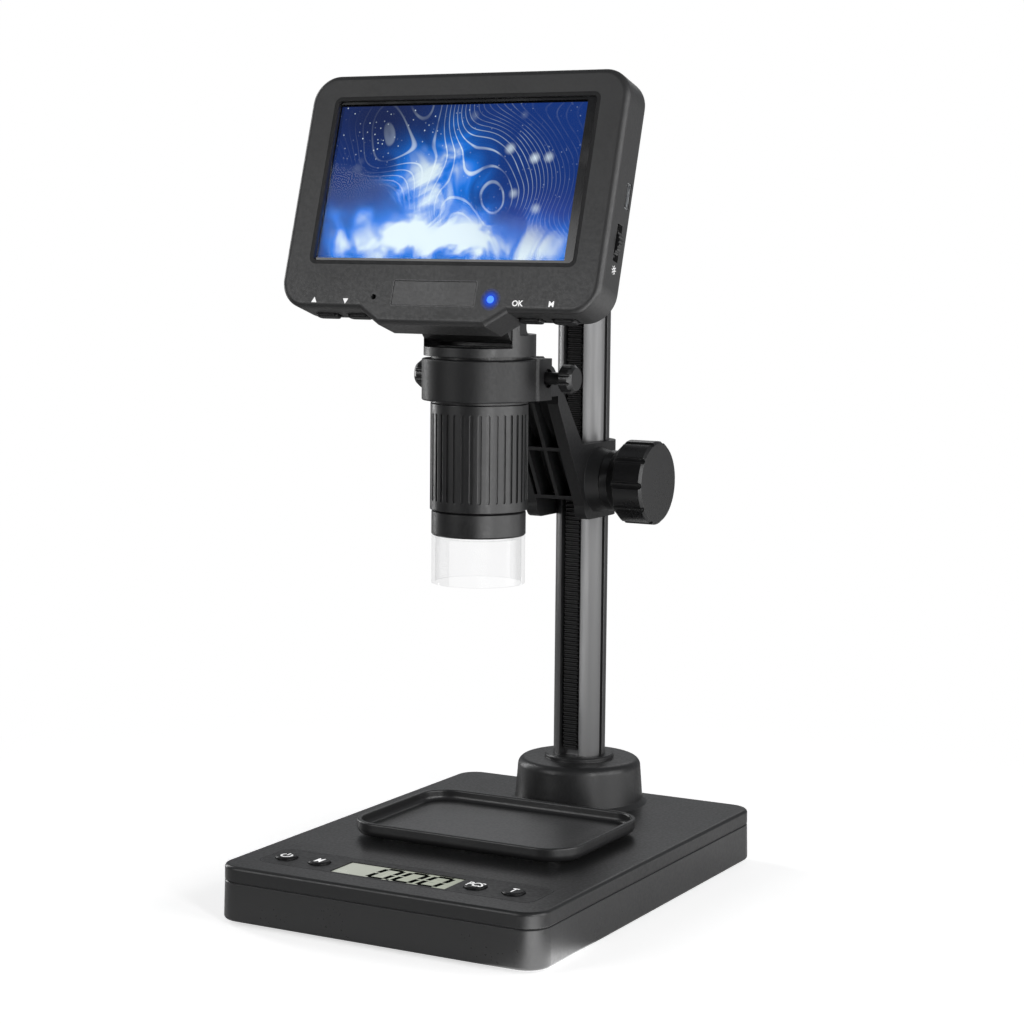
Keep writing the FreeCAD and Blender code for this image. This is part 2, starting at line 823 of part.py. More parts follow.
def weighing_tray():
    bottom = lid_top_z + tray_above_lid
    top = bottom + tray_height
    width = 2 * tray_half_width
    depth = 2 * tray_half_depth
    outer = plate(width, depth, tray_corner_radius, bottom, top, 0, tray_y)
    outer = outer.makeFillet(tray_edge_round, edges_where(outer, lambda b: b.ZMax < bottom + 0.01))
    seat = lid_top_z + platform_gap + platform_thickness
    floor = seat + tray_floor
    inner = plate(width - 2 * tray_wall, depth - 2 * tray_wall, tray_corner_radius - tray_wall,
                  floor, top + 1, 0, tray_y)
    inner = inner.makeFillet(tray_floor_round, edges_where(inner, lambda b: b.ZMax < floor + 0.01))
    body = outer.cut(inner)
    rim = [e for e in body.Edges if e.BoundBox.ZMin > top - 0.01]
    body = body.makeFillet(tray_rim_round, rim)
    recess = plate(platform_width + 2 * platform_clearance, platform_depth + 2 * platform_clearance,
                   platform_corner_radius + platform_clearance, bottom - 1, seat, 0, tray_y)
    return body.cut(recess)


def door_pin_place():
    """Depth and height of the axis that the battery door turns about."""
    rear = battery_y + door_length / 2 - door_gap
    return rear - door_thickness / 2, shell_bottom_z + door_recess + door_thickness / 2


def battery_door():
    pin_y, pin_z = door_pin_place()
    low = shell_bottom_z + door_recess
    front = battery_y - door_length / 2 + door_gap
    half = door_width / 2 - door_gap
    body = block(battery_x - half, battery_x + half, front, pin_y, low, low + door_thickness)
    reach = half + door_pin_length
    edge = rod(door_thickness / 2, Vector(battery_x - half, pin_y, pin_z), Vector(battery_x + half, pin_y,
                                                                                  pin_z))
    pins = rod(door_pin_radius, Vector(battery_x - reach, pin_y, pin_z), Vector(battery_x + reach, pin_y,
                                                                                pin_z))
    body = fuse_all([body, edge, pins])
    for index in range(door_grip_grooves):
        y = front + door_grip_from_edge + 2 * door_grip_width * index
        body = body.cut(block(battery_x - door_grip_half, battery_x + door_grip_half, y,
                              y + door_grip_width,
                              low - 1, low + door_grip_depth))
    return body


def battery_contacts():
    plates = []
    z = floor_top_z + battery_above_door + battery_radius
    half = battery_spacing / 2 + battery_radius - 1.0
    for sy in (-1, 1):
        near = battery_y + sy * battery_length / 2
        far = near + sy * contact_thickness
        plates.append(block(battery_x - half, battery_x + half, min(near, far), max(near, far),
                            z - contact_height / 2, z + contact_height / 2))
    return Part.makeCompound(plates)


def scale_batteries():
    cells = []
    z = floor_top_z + battery_above_door + battery_radius
    for sx in (-1, 1):
        x = battery_x + sx * battery_spacing / 2
        y0 = battery_y - battery_length / 2
        can = rod(battery_radius, Vector(x, y0, z), Vector(x, y0 + battery_length - 1, z))
        tip = rod(1.9, Vector(x, y0 + battery_length - 1, z), Vector(x, y0 + battery_length, z))
        cells.append(can.fuse(tip).removeSplitter())
    return Part.makeCompound(cells)


# Column
def column_tube():
    body = disc(column_radius, 0, column_y, column_bottom_z, column_top_z)
    body = body.cut(disc(column_core_radius, 0, column_y, column_bottom_z, column_top_z))
    half = column_groove_width / 2
    body = body.cut(block(-half, half, column_y - column_radius - 1, column_y - column_groove_floor,
                          pedestal_top_z + collar_height, column_top_z))
    for sx in (-1, 1):
        turn = math.radians(column_side_groove_angle)
        slot = block(column_radius - column_side_groove_depth, column_radius + 1,
                     -column_side_groove_width / 2, column_side_groove_width / 2,
                     pedestal_top_z + collar_height, column_top_z)
        slot.rotate(ORIGIN, Z_AXIS, -math.degrees(turn))
        if sx < 0:
            slot = mirrored(slot)
        slot.translate(Vector(0, column_y, 0))
        body = body.cut(slot)
    return body


def column_screw():
    head_top = shell_bottom_z + column_screw_head_height
    head = disc(column_screw_head_radius, 0, column_y, shell_bottom_z + 0.2, head_top)
    shank = disc(column_core_radius, 0, column_y, head_top, head_top + column_screw_length)
    recess = Part.makePolygon([Vector(2 * math.cos(math.radians(60 * i)),
                                      2 * math.sin(math.radians(60 * i)), 0)
                               for i in range(7)])
    socket = Part.Face(recess).extrude(Vector(0, 0, column_socket_depth))
    socket.translate(Vector(0, column_y, shell_bottom_z + 0.2))
    return head.fuse(shank).removeSplitter().cut(socket)


def column_cap():
    radius = column_radius + cap_overhang
    top = disc(radius, 0, column_y, column_top_z, column_top_z + cap_height)
    top = top.makeChamfer(cap_chamfer, edges_where(top,
                                                   lambda b: b.ZMin > column_top_z + cap_height - 0.01))
    stem = disc(column_core_radius, 0, column_y, column_top_z - cap_stem_length, column_top_z)
    return top.fuse(stem).removeSplitter()


def rack_strip():
    """Straight teeth cut across a flat strip; a tooth space faces the pinion at rest."""
    bottom = lid_top_z + rack_bottom_above_lid
    top = column_top_z - rack_top_below_column
    back = column_y - column_groove_floor
    root_y = rack_tip_y + 2.25 * gear_module
    slope = math.tan(math.radians(pressure_angle))
    pitch_half = tooth_pitch / 4 - tooth_backlash / 2
    tip_half = pitch_half - gear_module * slope
    root_half = pitch_half + 1.25 * gear_module * slope
    first = math.ceil((bottom + tooth_pitch / 2 - pinion_z) / tooth_pitch - 0.5)
    last = math.floor((top - tooth_pitch / 2 - pinion_z) / tooth_pitch - 0.5)
    half = rack_width / 2
    points = [Vector(-half, back, bottom), Vector(-half, root_y, bottom)]
    for index in range(first, last + 1):
        centre = pinion_z + (index + 0.5) * tooth_pitch
        points.append(Vector(-half, root_y, centre - root_half))
        points.append(Vector(-half, rack_tip_y, centre - tip_half))
        points.append(Vector(-half, rack_tip_y, centre + tip_half))
        points.append(Vector(-half, root_y, centre + root_half))
    points.append(Vector(-half, root_y, top))
    points.append(Vector(-half, back, top))
    return polygon_prism(points, Vector(rack_width, 0, 0))


# Carriage
def arm_outline(x):
    """The arm's side outline from the ring to the sleeve, at one X."""
    ring_inside_y = barrel_y + ring_radius - 2
    return [
        Vector(x, ring_inside_y, ring_bottom_z),
        Vector(x, arm_front_high[0], ring_bottom_z),
        Vector(x, arm_front_high[0], arm_front_high[1]),
        Vector(x, arm_front_low[0], arm_front_low[1]),
        Vector(x, arm_front_low[0], sleeve_bottom_z),
        Vector(x, column_y, sleeve_bottom_z),
        Vector(x, column_y, sleeve_top_z),
        Vector(x, arm_back_low[0], arm_back_low[1]),
        Vector(x, arm_back_high[0], arm_back_high[1]),
        Vector(x, arm_top_front_y, arm_top_z),
        Vector(x, ring_inside_y, arm_top_z),
    ]


def arm_side():
    """The arm's outline as a solid, with its two outer corners rounded."""
    width = 2 * sleeve_half_width
    side = polygon_prism(arm_outline(-sleeve_half_width), Vector(width, 0, 0))
    corners = (
        (arm_front_low[0], sleeve_bottom_z, arm_low_round),
        (arm_back_high[0], arm_back_high[1], arm_high_round),
    )
    for y, z, radius in corners:
        edges = [edge for edge in side.Edges
                 if abs(edge.CenterOfMass.y - y) < 0.01 and abs(edge.CenterOfMass.z - z) < 0.01]
        side = side.makeFillet(radius, edges)
    return side


def arm_pocket_spans():
    """The X spans between the cheeks and the ribs."""
    cheek_in = sleeve_half_width - cheek_thickness
    edges = [-cheek_in]
    for place in sorted(arm_rib_places):
        edges += [place - arm_rib / 2, place + arm_rib / 2]
    edges.append(cheek_in)
    return list(zip(edges[0::2], edges[1::2]))


def arm_pockets():
    """Hollows between the ribs and shelves, open to the front."""
    slope = (arm_back_high[0] - arm_back_low[0]) / (arm_back_high[1] - arm_back_low[1])
    wall_y = arm_back_wall * math.sqrt(1 + slope * slope)

    def back_at(z):
        return arm_back_low[0] + (z - arm_back_low[1]) * slope - wall_y

    pockets = []
    tops = [ring_bottom_z - arm_ring_web] + [z - shelf_thickness / 2 for z in shelf_heights[:-1]]
    bottoms = [z + shelf_thickness / 2 for z in shelf_heights]
    pinion_room_y = pinion_y - pinion_radius - 2 * gear_module
    for top, bottom in zip(tops, bottoms):
        for x0, x1 in arm_pocket_spans():
            pockets.append(polygon_prism([
                Vector(x0, barrel_y + ring_radius - arm_ring_web, top),
                Vector(x0, back_at(top), top),
                Vector(x0, min(back_at(bottom), pinion_room_y), bottom),
                Vector(x0, barrel_y + ring_radius, bottom),
            ], Vector(x1 - x0, 0, 0)))
    return pockets


def carriage_arm():
    sleeve = disc(sleeve_half_width, 0, column_y, sleeve_bottom_z, sleeve_top_z)
    ring = disc(ring_radius, 0, barrel_y, ring_bottom_z, ring_top_z)
    ring = ring.makeFillet(ring_edge_round, [edge for edge in ring.Edges if edge.Closed])
    lug = plate(2 * lug_half_width, lug_back_y - lug_front_y, lug_corner_radius, ring_bottom_z,
                ring_top_z, 0, (lug_front_y + lug_back_y) / 2)
    axis = Vector(0, pinion_y, pinion_z)
    right_face = axis + Vector(sleeve_half_width, 0, 0)
    left_face = axis - Vector(sleeve_half_width, 0, 0)
    right_boss = Part.makeCone(boss_root_radius, boss_tip_radius, boss_length, right_face, X_AXIS)
    left_boss = rod(left_boss_radius, left_face - Vector(left_boss_length, 0, 0), left_face)
    body = fuse_all([arm_side(), sleeve, ring, lug, right_boss, left_boss])
    for pocket in arm_pockets():
        body = body.cut(pocket)
    cheek_in = sleeve_half_width - cheek_thickness
    tip = pinion_radius + gear_module
    throat = block(-cheek_in, cheek_in, pinion_y - tip - throat_clearance, column_y - column_core_radius,
                   sleeve_bottom_z - 1, sleeve_top_z + 1)
    low_front = block(-cheek_in, cheek_in, arm_front_high[0], pinion_y, sleeve_bottom_z - 1,
                      shelf_heights[-1] - shelf_thickness / 2)
    bores = [throat, low_front]
    bores.append(disc(column_radius + slide_clearance, 0, column_y, sleeve_bottom_z - 1, sleeve_top_z + 1))
    bores.append(disc(tube_radius + tube_clearance, 0, barrel_y, sleeve_bottom_z, ring_top_z + 1))
    reach = Vector(2 * lug_half_width, 0, 0)
    bores.append(rod(pinion_shaft_radius + shaft_clearance, axis - reach, axis + reach))
    screw_axis = Vector(0, screw_y, screw_z)
    bores.append(rod(screw_radius + screw_thread_clearance, screw_axis - reach, screw_axis + reach))
    recess_floor = Vector(lug_half_width - screw_recess_depth, 0, 0)
    bores.append(rod(screw_recess_radius, screw_axis + recess_floor, screw_axis + reach))
    bores.append(rod(screw_recess_radius, screw_axis - reach, screw_axis - recess_floor))
    bores.append(rod(friction_screw_radius, Vector(0, column_y, friction_screw_z),
                     Vector(0, column_y + sleeve_half_width + 1, friction_screw_z)))
    for shape in bores:
        body = body.cut(shape)
    return body


def friction_pad():
    start = column_y + column_radius + slide_clearance - 0.04
    return rod(friction_screw_radius, Vector(0, start, friction_screw_z),
               Vector(0, start + friction_pad_length, friction_screw_z))


def friction_screw():
    start = column_y + column_radius + slide_clearance - 0.04 + friction_pad_length
    face = column_y + sleeve_half_width + friction_screw_gap
    shank = rod(friction_screw_radius, Vector(0, start, friction_screw_z), Vector(0, face,
                                                                                  friction_screw_z))
    head = rod(friction_screw_head_radius, Vector(0, face, friction_screw_z),
               Vector(0, face + friction_screw_head_height, friction_screw_z))
    slot = block(-friction_screw_head_radius, friction_screw_head_radius,
                 face + friction_screw_head_height - 0.8,
                 face + friction_screw_head_height + 1, friction_screw_z - 0.4, friction_screw_z + 0.4)
    return shank.fuse(head).removeSplitter().cut(slot)


def pinion_shaft():
    """Straight-sided teeth on a shaft; one tooth points at the rack at rest."""
    left = -sleeve_half_width - left_boss_length - end_cap_gap - end_cap_length + 1.5
    shaft = rod(pinion_shaft_radius, Vector(left, pinion_y, pinion_z), Vector(knob_face_x - 4, pinion_y,
                                                                              pinion_z))
    tip = pinion_radius + gear_module
    root = pinion_radius - 1.25 * gear_module
    slope = math.tan(math.radians(pressure_angle))
    half_pitch = tooth_pitch / 4 - tooth_backlash / 2
    points = []
    for index in range(pinion_teeth):
        around = math.radians(90 + 360.0 * index / pinion_teeth)
        for radius, half in ((root, half_pitch + 1.0 * gear_module * slope * 0.7),
                             (pinion_radius, half_pitch),
                             (tip, half_pitch - 1.35 * gear_module * slope)):
            angle = around - half / radius
            points.append((radius, angle))
        for radius, half in ((tip, half_pitch - 1.35 * gear_module * slope),
                             (pinion_radius, half_pitch),
                             (root, half_pitch + 1.0 * gear_module * slope * 0.7)):
            angle = around + half / radius
            points.append((radius, angle))
    corners = [Vector(-pinion_width / 2, pinion_y + r * math.sin(a), pinion_z + r * math.cos(a)) for r,
               a in points]
    teeth = polygon_prism(corners, Vector(pinion_width, 0, 0))
    return shaft.fuse(teeth).removeSplitter()


def focus_knob():
    rim_start = knob_face_x - knob_rim_length
    profile = [
        (knob_neck_start, 0),
        (knob_neck_start, knob_neck_radius),
        (knob_neck_start + knob_neck_length, knob_neck_radius),
        (rim_start, knob_radius - knob_edge_chamfer),
        (rim_start + knob_edge_chamfer, knob_radius),
        (knob_face_x - knob_edge_chamfer, knob_radius),
        (knob_face_x, knob_radius - knob_edge_chamfer),
        (knob_face_x, 0),
    ]
    body = revolve_about_x(profile, pinion_y, pinion_z)
    flute_at = knob_radius + knob_flute_radius - knob_flute_depth
    for index in range(knob_flutes):
        angle = math.radians(360.0 * (index + 0.5) / knob_flutes)
        y = pinion_y + flute_at * math.sin(angle)
        z = pinion_z + flute_at * math.cos(angle)
        body = body.cut(rod(knob_flute_radius, Vector(knob_neck_start, y, z), Vector(knob_face_x + 1, y,
                                                                                     z)))
    return body.cut(rod(pinion_shaft_radius, Vector(knob_neck_start - 1, pinion_y, pinion_z),
                        Vector(knob_face_x - 4, pinion_y, pinion_z)))


def shaft_end_cap():
    start = -sleeve_half_width - left_boss_length - end_cap_gap
    end = start - end_cap_length
    cap = rod(end_cap_radius, Vector(start, pinion_y, pinion_z), Vector(end, pinion_y, pinion_z))
    cap = cap.makeChamfer(end_cap_chamfer, edges_where(cap, lambda b: b.XMax < end + 0.01))
    return cap.cut(rod(pinion_shaft_radius, Vector(start + 1, pinion_y, pinion_z),
                       Vector(end + 1.5, pinion_y, pinion_z)))


def thumbscrew_right():
    reach = abs(screw_y - barrel_y) - screw_radius
    tip_x = math.sqrt(tube_radius ** 2 - reach ** 2) + screw_tip_gap
    end = screw_knob_start + screw_knob_length
    profile = [
        (tip_x, 0),
        (tip_x, screw_radius - 0.5),
        (tip_x + 0.5, screw_radius),
        (screw_knob_start, screw_radius),
        (screw_knob_start, screw_knob_radius - 0.4),
        (screw_knob_start + 0.4, screw_knob_radius),
        (end - 1.5, screw_knob_radius),
        (end, screw_knob_end_radius),
        (end, 0),
    ]
    body = revolve_about_x(profile, screw_y, screw_z)
    for index in range(screw_knob_flutes):
        angle = math.radians(360.0 * index / screw_knob_flutes)
        y = screw_y + (screw_knob_radius + 0.25) * math.sin(angle)
        z = screw_z + (screw_knob_radius + 0.25) * math.cos(angle)
        body = body.cut(rod(screw_knob_flute_radius, Vector(screw_knob_start - 1, y, z), Vector(end + 1, y,
                                                                                                z)))
    return body


# Optical tube
def barrel_tube():
    profile_tube = tube(tube_radius, tube_radius - tube_wall, 0, barrel_y, grip_top_z + part_gap,
                        yoke_bottom_z)
    lower = tube(inner_tube_radius, inner_tube_radius - inner_tube_wall, 0, barrel_y, nose_ledge_z,
                 grip_top_z + part_gap + 2.0)
    step = tube(tube_radius, inner_tube_radius - inner_tube_wall, 0, barrel_y, grip_top_z + part_gap,
                grip_top_z + part_gap + 2.0)
    web = tube(inner_tube_radius - inner_tube_wall, guide_radius, 0, barrel_y, guide_top_z - guide_web,
               guide_top_z)
    guide = tube(guide_radius + guide_wall, guide_radius, 0, barrel_y, guide_bottom_z, guide_top_z)
    ledge = tube(tube_radius - tube_wall, sensor_board_radius - 2.0, 0, barrel_y,
                 sensor_board_z - sensor_ledge,
                 sensor_board_z)
    body = fuse_all([profile_tube, lower, step, web, guide, ledge])
    pin_z = lens_cell_bottom_z + lens_cell_height / 2
    slot_half = drive_pin_radius + drive_pin_clearance
    slot = block(0, tube_radius, barrel_y - slot_half, barrel_y + slot_half,
                 pin_z - lens_travel - slot_half,
                 pin_z + lens_travel + slot_half)
    return body.cut(slot)


def yoke():
    floor_top = yoke_bottom_z + yoke_floor
    full = disc(yoke_radius, 0, barrel_y, yoke_bottom_z, yoke_cheek_top_z)
    slot = block(-yoke_cheek_inner, yoke_cheek_inner, barrel_y - 2 * yoke_radius, yoke_back_wall_y,
                 floor_top, yoke_cheek_top_z + 1)
    body = full.cut(slot)
    ears = []
    back_y = tilt_axis_y + ear_radius
    for sx in (-1, 1):
        x0 = min(sx * yoke_cheek_inner, sx * ear_outer)
        x1 = max(sx * yoke_cheek_inner, sx * ear_outer)
        ears.append(rod(ear_radius, Vector(x0, tilt_axis_y, tilt_axis_z), Vector(x1, tilt_axis_y,
                                                                                 tilt_axis_z)))
        ears.append(block(x0, x1, tilt_axis_y - ear_radius, back_y, yoke_cheek_top_z - 1, tilt_axis_z))
        shoulder = block(x0, x1, back_y - 1, back_y + ear_hollow, yoke_cheek_top_z - 1,
                         yoke_cheek_top_z + ear_hollow)
        hollow_z = yoke_cheek_top_z + ear_hollow
        ears.append(shoulder.cut(rod(ear_hollow, Vector(x0 - 1, back_y + ear_hollow, hollow_z),
                                     Vector(x1 + 1, back_y + ear_hollow, hollow_z))))
    ears = fuse_all(ears)
    ears = ears.common(disc(yoke_radius, 0, barrel_y, yoke_bottom_z, tilt_axis_z + ear_radius + 1))
    body = body.fuse(ears).removeSplitter()
    reach = yoke_cheek_inner + hinge_pin_depth
    body = body.cut(rod(hinge_pin_radius, Vector(-reach, tilt_axis_y, tilt_axis_z),
                        Vector(reach, tilt_axis_y, tilt_axis_z)))
    return body.cut(disc(yoke_bore_radius, 0, barrel_y + yoke_bore_back, yoke_bottom_z - 1, floor_top + 1))


def hinge_pins():
    pin = rod(hinge_pin_radius, Vector(hinge_pin_inner, tilt_axis_y, tilt_axis_z),
              Vector(yoke_cheek_inner + hinge_pin_depth, tilt_axis_y, tilt_axis_z))
    return Part.makeCompound([pin, mirrored(pin)])


def focus_ring():
    body = tube(tube_radius, inner_tube_radius + grip_clearance, 0, barrel_y, grip_bottom_z, grip_top_z)
    middle_low = grip_rib_bottom_z + grip_flute_width / 2
    middle_high = grip_rib_top_z - grip_flute_width / 2
    half = grip_flute_width / 2
    floor = tube_radius - grip_flute_depth
    flutes = []
    for index in range(grip_ribs):
        angle = 360.0 * index / grip_ribs
        groove = block(floor, tube_radius + 1, -half, half, middle_low, middle_high)
        for z in (middle_low, middle_high):
            groove = groove.fuse(rod(half, Vector(floor, 0, z), Vector(tube_radius + 1, 0, z)))
        groove = groove.removeSplitter()
        groove.rotate(ORIGIN, Z_AXIS, angle)
        groove.translate(Vector(0, barrel_y, 0))
        flutes.append(groove)
    return body.cut(Part.makeCompound(flutes))


def nose_ring():
    outer = disc(nose_radius, 0, barrel_y, nose_bottom_z, nose_top_z)
    outer = outer.makeChamfer(shield_edge_chamfer, [e for e in outer.Edges if e.Closed])
    upper = disc(inner_tube_radius, 0, barrel_y, nose_ledge_z, nose_top_z + 1)
    lower = disc(nose_bore_radius, 0, barrel_y, nose_bottom_z - 1, nose_ledge_z)
    return outer.cut(upper).cut(lower)


def lens_shield():
    wall = tube(shield_radius, shield_radius - shield_wall, 0, barrel_y, shield_bottom_z, nose_bottom_z)
    spigot_outer = nose_bore_radius - shield_spigot_gap
    flange = tube(shield_radius, spigot_outer - shield_wall, 0, barrel_y, nose_bottom_z - 1.0,
                  nose_bottom_z)
    spigot = tube(spigot_outer, spigot_outer - shield_wall, 0, barrel_y, nose_bottom_z - 1.0,
                  nose_bottom_z + shield_spigot_length)
    return fuse_all([wall, flange, spigot])


def lens_cell():
    outer = guide_radius - lens_cell_clearance
    top = lens_cell_bottom_z + lens_cell_height
    body = tube(outer, outer - lens_cell_wall, 0, barrel_y, lens_cell_bottom_z, top)
    lip_low = lens_cell_bottom_z + lens_edge / 2 + 2.0 + lens_edge
    body = body.fuse(tube(outer, lens_radius - 1.0, 0, barrel_y, lip_low, lip_low + 1.2))
    lower = tube(outer, lens_radius, 0, barrel_y, lip_low - lens_edge - 0.6, lip_low)
    body = body.fuse(lower).removeSplitter()
    pin_z = lens_cell_bottom_z + lens_cell_height / 2
    pin = rod(drive_pin_radius, Vector(outer - lens_cell_wall / 2, barrel_y, pin_z),
              Vector(inner_tube_radius - 0.1, barrel_y, pin_z))
    return body.fuse(pin).removeSplitter()


def objective_lens():
    lip_low = lens_cell_bottom_z + lens_edge / 2 + 2.0 + lens_edge
    edge_low = lip_low - lens_edge
    rim = disc(lens_radius, 0, barrel_y, edge_low, lip_low)
    ball_radius = (lens_radius ** 2 + lens_crown ** 2) / (2 * lens_crown)
    ball = Part.makeSphere(ball_radius, Vector(0, barrel_y, edge_low - lens_crown + ball_radius))
    crown = ball.common(disc(lens_radius, 0, barrel_y, edge_low - lens_crown - 1, edge_low))
    return rim.fuse(crown).removeSplitter()


def lamp_ring():
    top = nose_ledge_z
    low = top - lamp_ring_thickness
    board = tube(nose_bore_radius, lamp_ring_bore, 0, barrel_y, low, top)
    shapes = [board]
    for index in range(lamp_count):
        angle = math.radians(360.0 * index / lamp_count)
        x = lamp_circle_radius * math.cos(angle)
        y = barrel_y + lamp_circle_radius * math.sin(angle)
        shapes.append(disc(lamp_size / 2, x, y, low - lamp_height, low))
    return fuse_all(shapes)


def sensor_board():
    board = disc(sensor_board_radius, 0, barrel_y, sensor_board_z, sensor_board_z + sensor_board_thickness)
    chip = block(-4, 4, barrel_y - 4, barrel_y + 4, sensor_board_z - 0.9, sensor_board_z)
    return board.fuse(chip).removeSplitter()


# Display head
def head_outline(inset, y):
    """Front outline with the stepped chin, in the head's frame, drawn in by one distance."""
    half = head_width / 2 - inset
    top = head_top - inset
    bottom = -head_bottom + inset
    radius = head_corner_radius - inset
    lean = math.atan2(chin_depth, chin_top_half - chin_bottom_half)
    shift = inset * math.tan(lean / 2)
    chin_top = chin_top_half - shift
    chin_low = chin_bottom_half - shift
    chin_z = bottom - chin_depth
    turn = math.sqrt(0.5) * radius
    arcs = []
    ends = []
    corner_data = (
        (half - radius, top - radius, (0, radius), (turn, turn), (radius, 0)),
        (half - radius, bottom + radius, (radius, 0), (turn, -turn), (0, -radius)),
        (radius - half, bottom + radius, (0, -radius), (-turn, -turn), (-radius, 0)),
        (radius - half, top - radius, (-radius, 0), (-turn, turn), (0, radius)),
    )
    for cx, cz, first, middle, last in corner_data:
        points = [Vector(cx + dx, y, cz + dz) for dx, dz in (first, middle, last)]
        arcs.append(Part.Arc(points[0], points[1], points[2]).toShape())
        ends.append((points[0], points[2]))
    chin = [Vector(chin_top, y, bottom), Vector(chin_low, y, chin_z),
            Vector(-chin_low, y, chin_z), Vector(-chin_top, y, bottom)]
    edges = [arcs[0], Part.LineSegment(ends[0][1], ends[1][0]).toShape(), arcs[1]]
    run = [ends[1][1]] + chin + [ends[2][0]]
    for start, end in zip(run[:-1], run[1:]):
        edges.append(Part.LineSegment(start, end).toShape())
    edges += [arcs[2], Part.LineSegment(ends[2][1], ends[3][0]).toShape(), arcs[3]]
    edges.append(Part.LineSegment(ends[3][1], ends[0][0]).toShape())
    return Part.Wire(Part.__sortEdges__(edges))


def head_slab(inset, y0, y1):
    return Part.Face(head_outline(inset, y0)).extrude(Vector(0, y1 - y0, 0))


def head_block(x0, x1, y0, y1, z0, z1):
    return block(x0, x1, y0, y1, z0, z1)


def head_screw_places():
    return [(sx * head_screw_x, z) for sx in (-1, 1) for z in (head_screw_high, head_screw_low)]


def board_front_y():
    return front_plate + lcd_thickness


def front_bezel():
    body = head_slab(0, 0, bezel_depth)
    body = body.makeFillet(head_front_round, edges_where(body, lambda b: b.YMax < 0.01))
    body = body.cut(head_slab(head_wall, front_plate, bezel_depth + 1))
    posts = [rod(head_post_radius, Vector(x, front_plate, z), Vector(x, bezel_depth, z))
             for x, z in head_screw_places()]
    wheel_x = head_width / 2 + wheel_proud - wheel_radius
    wheel_front = wheel_place - wheel_thickness / 2
    posts.append(rod(wheel_post_radius, Vector(wheel_x, front_plate, wheel_z),
                     Vector(wheel_x, wheel_front - 0.3, wheel_z)))
    posts.append(rod(wheel_axle_radius, Vector(wheel_x, front_plate, wheel_z),
                     Vector(wheel_x, wheel_place + wheel_thickness / 2 + 0.6, wheel_z)))
    body = fuse_all([body] + posts)
    window_back = window_below_face + window_thickness
    cuts = [upright(window_width, window_height, window_corner_radius, -1, window_back)]
    cuts.append(upright(active_width + active_gap, active_height + active_gap, active_round,
                        0, front_plate + 1, active_x, 0))
    cuts.append(upright(name_plate_width, name_plate_height, name_plate_round, -1,
                        name_plate_recess, 0, name_plate_z))
    cuts.append(rod(indicator_radius, Vector(indicator_x, -1, indicator_z),
                    Vector(indicator_x, front_plate + 1, indicator_z)))
    cuts.append(rod(reset_hole_radius, Vector(reset_hole_x, -1, reset_hole_z),
                    Vector(reset_hole_x, front_plate + 1, reset_hole_z)))
    for x in head_button_places.values():
        half_x = head_button_length / 2 + head_button_gap
        half_y = head_button_width / 2 + head_button_gap
        cuts.append(head_block(
            x - half_x, x + half_x, head_button_depth_place - half_y, head_button_depth_place + half_y,
            -head_bottom - 2, -head_bottom + head_wall + 0.5))
    half_slot = wheel_slot_length / 2
    cuts.append(head_block(head_width / 2 - head_wall - 1, head_width / 2 + 2,
                           wheel_place - wheel_slot_width / 2, wheel_place + wheel_slot_width / 2,
                           wheel_z - half_slot, wheel_z + half_slot))
    port_y = board_front_y() + board_thickness
    cuts.append(head_block(head_width / 2 - head_wall - 1, head_width / 2 + 2, port_y, port_y + port_height,
                           port_z - port_width / 2, port_z + port_width / 2))
    cuts.append(head_block(-head_width / 2 - 2, -head_width / 2 + head_wall + 1, port_y,
                           port_y + card_slot_height,
                           card_slot_z - card_slot_width / 2, card_slot_z + card_slot_width / 2))
    for x, z in head_screw_places():
        cuts.append(rod(head_screw_radius, Vector(x, bezel_depth - head_screw_length + 1.5, z),
                        Vector(x, bezel_depth + 1, z)))
    for shape in cuts:
        body = body.cut(shape)
    return body


def rear_cover():
    body = head_slab(0, bezel_depth, head_thickness)
    body = body.makeFillet(head_back_round, edges_where(body, lambda b: b.YMin > head_thickness - 0.01))
    centre_z = (rear_box_low + rear_box_high) / 2
    height = rear_box_high - rear_box_low
    hump = upright(rear_box_width, height, rear_box_corner_radius, bezel_depth, rear_box_depth, 0, centre_z)
    hump = hump.makeFillet(rear_box_round, edges_where(hump, lambda b: b.YMin > rear_box_depth - 0.01))
    axis_y, axis_z = head_coordinates(tilt_axis_y, tilt_axis_z)
    half = yoke_cheek_inner - knuckle_gap
    knuckle = rod(knuckle_radius, Vector(-half, axis_y, axis_z), Vector(half, axis_y, axis_z))
    web_back = min(axis_y + knuckle_radius, rear_box_depth - rear_box_round)
    web = head_block(-half, half, axis_y - knuckle_radius, web_back, axis_z, rear_box_low + 3)
    body = fuse_all([body, hump, knuckle, web])
    plate_wall = head_thickness - bezel_depth
    body = body.cut(upright(rear_box_width - 2 * head_wall, height - 2 * head_wall,
                            rear_box_corner_radius - head_wall, bezel_depth - 1, rear_box_depth - head_wall,
                            0, centre_z))
    body = body.cut(head_slab(head_wall + 0.2, bezel_depth - 1, bezel_depth + plate_wall / 2 - 0.3))
    inner = hinge_pin_inner - 0.3
    for sx in (-1, 1):
        body = body.cut(rod(hinge_pin_radius + hinge_pin_clearance, Vector(sx * inner, axis_y, axis_z),
                            Vector(sx * (half + 1), axis_y, axis_z)))
    for x, z in head_screw_places():
        recess = head_thickness - head_screw_head_height
        body = body.cut(rod(head_screw_head_radius, Vector(x, recess, z), Vector(x, head_thickness + 1, z)))
        body = body.cut(rod(head_screw_radius, Vector(x, bezel_depth - 1, z), Vector(x, head_thickness, z)))
    return body


def screen_window():
    return upright(window_width - 2 * window_gap, window_height - 2 * window_gap,
                   window_corner_radius - window_gap,
                   window_below_face, window_below_face + window_thickness)


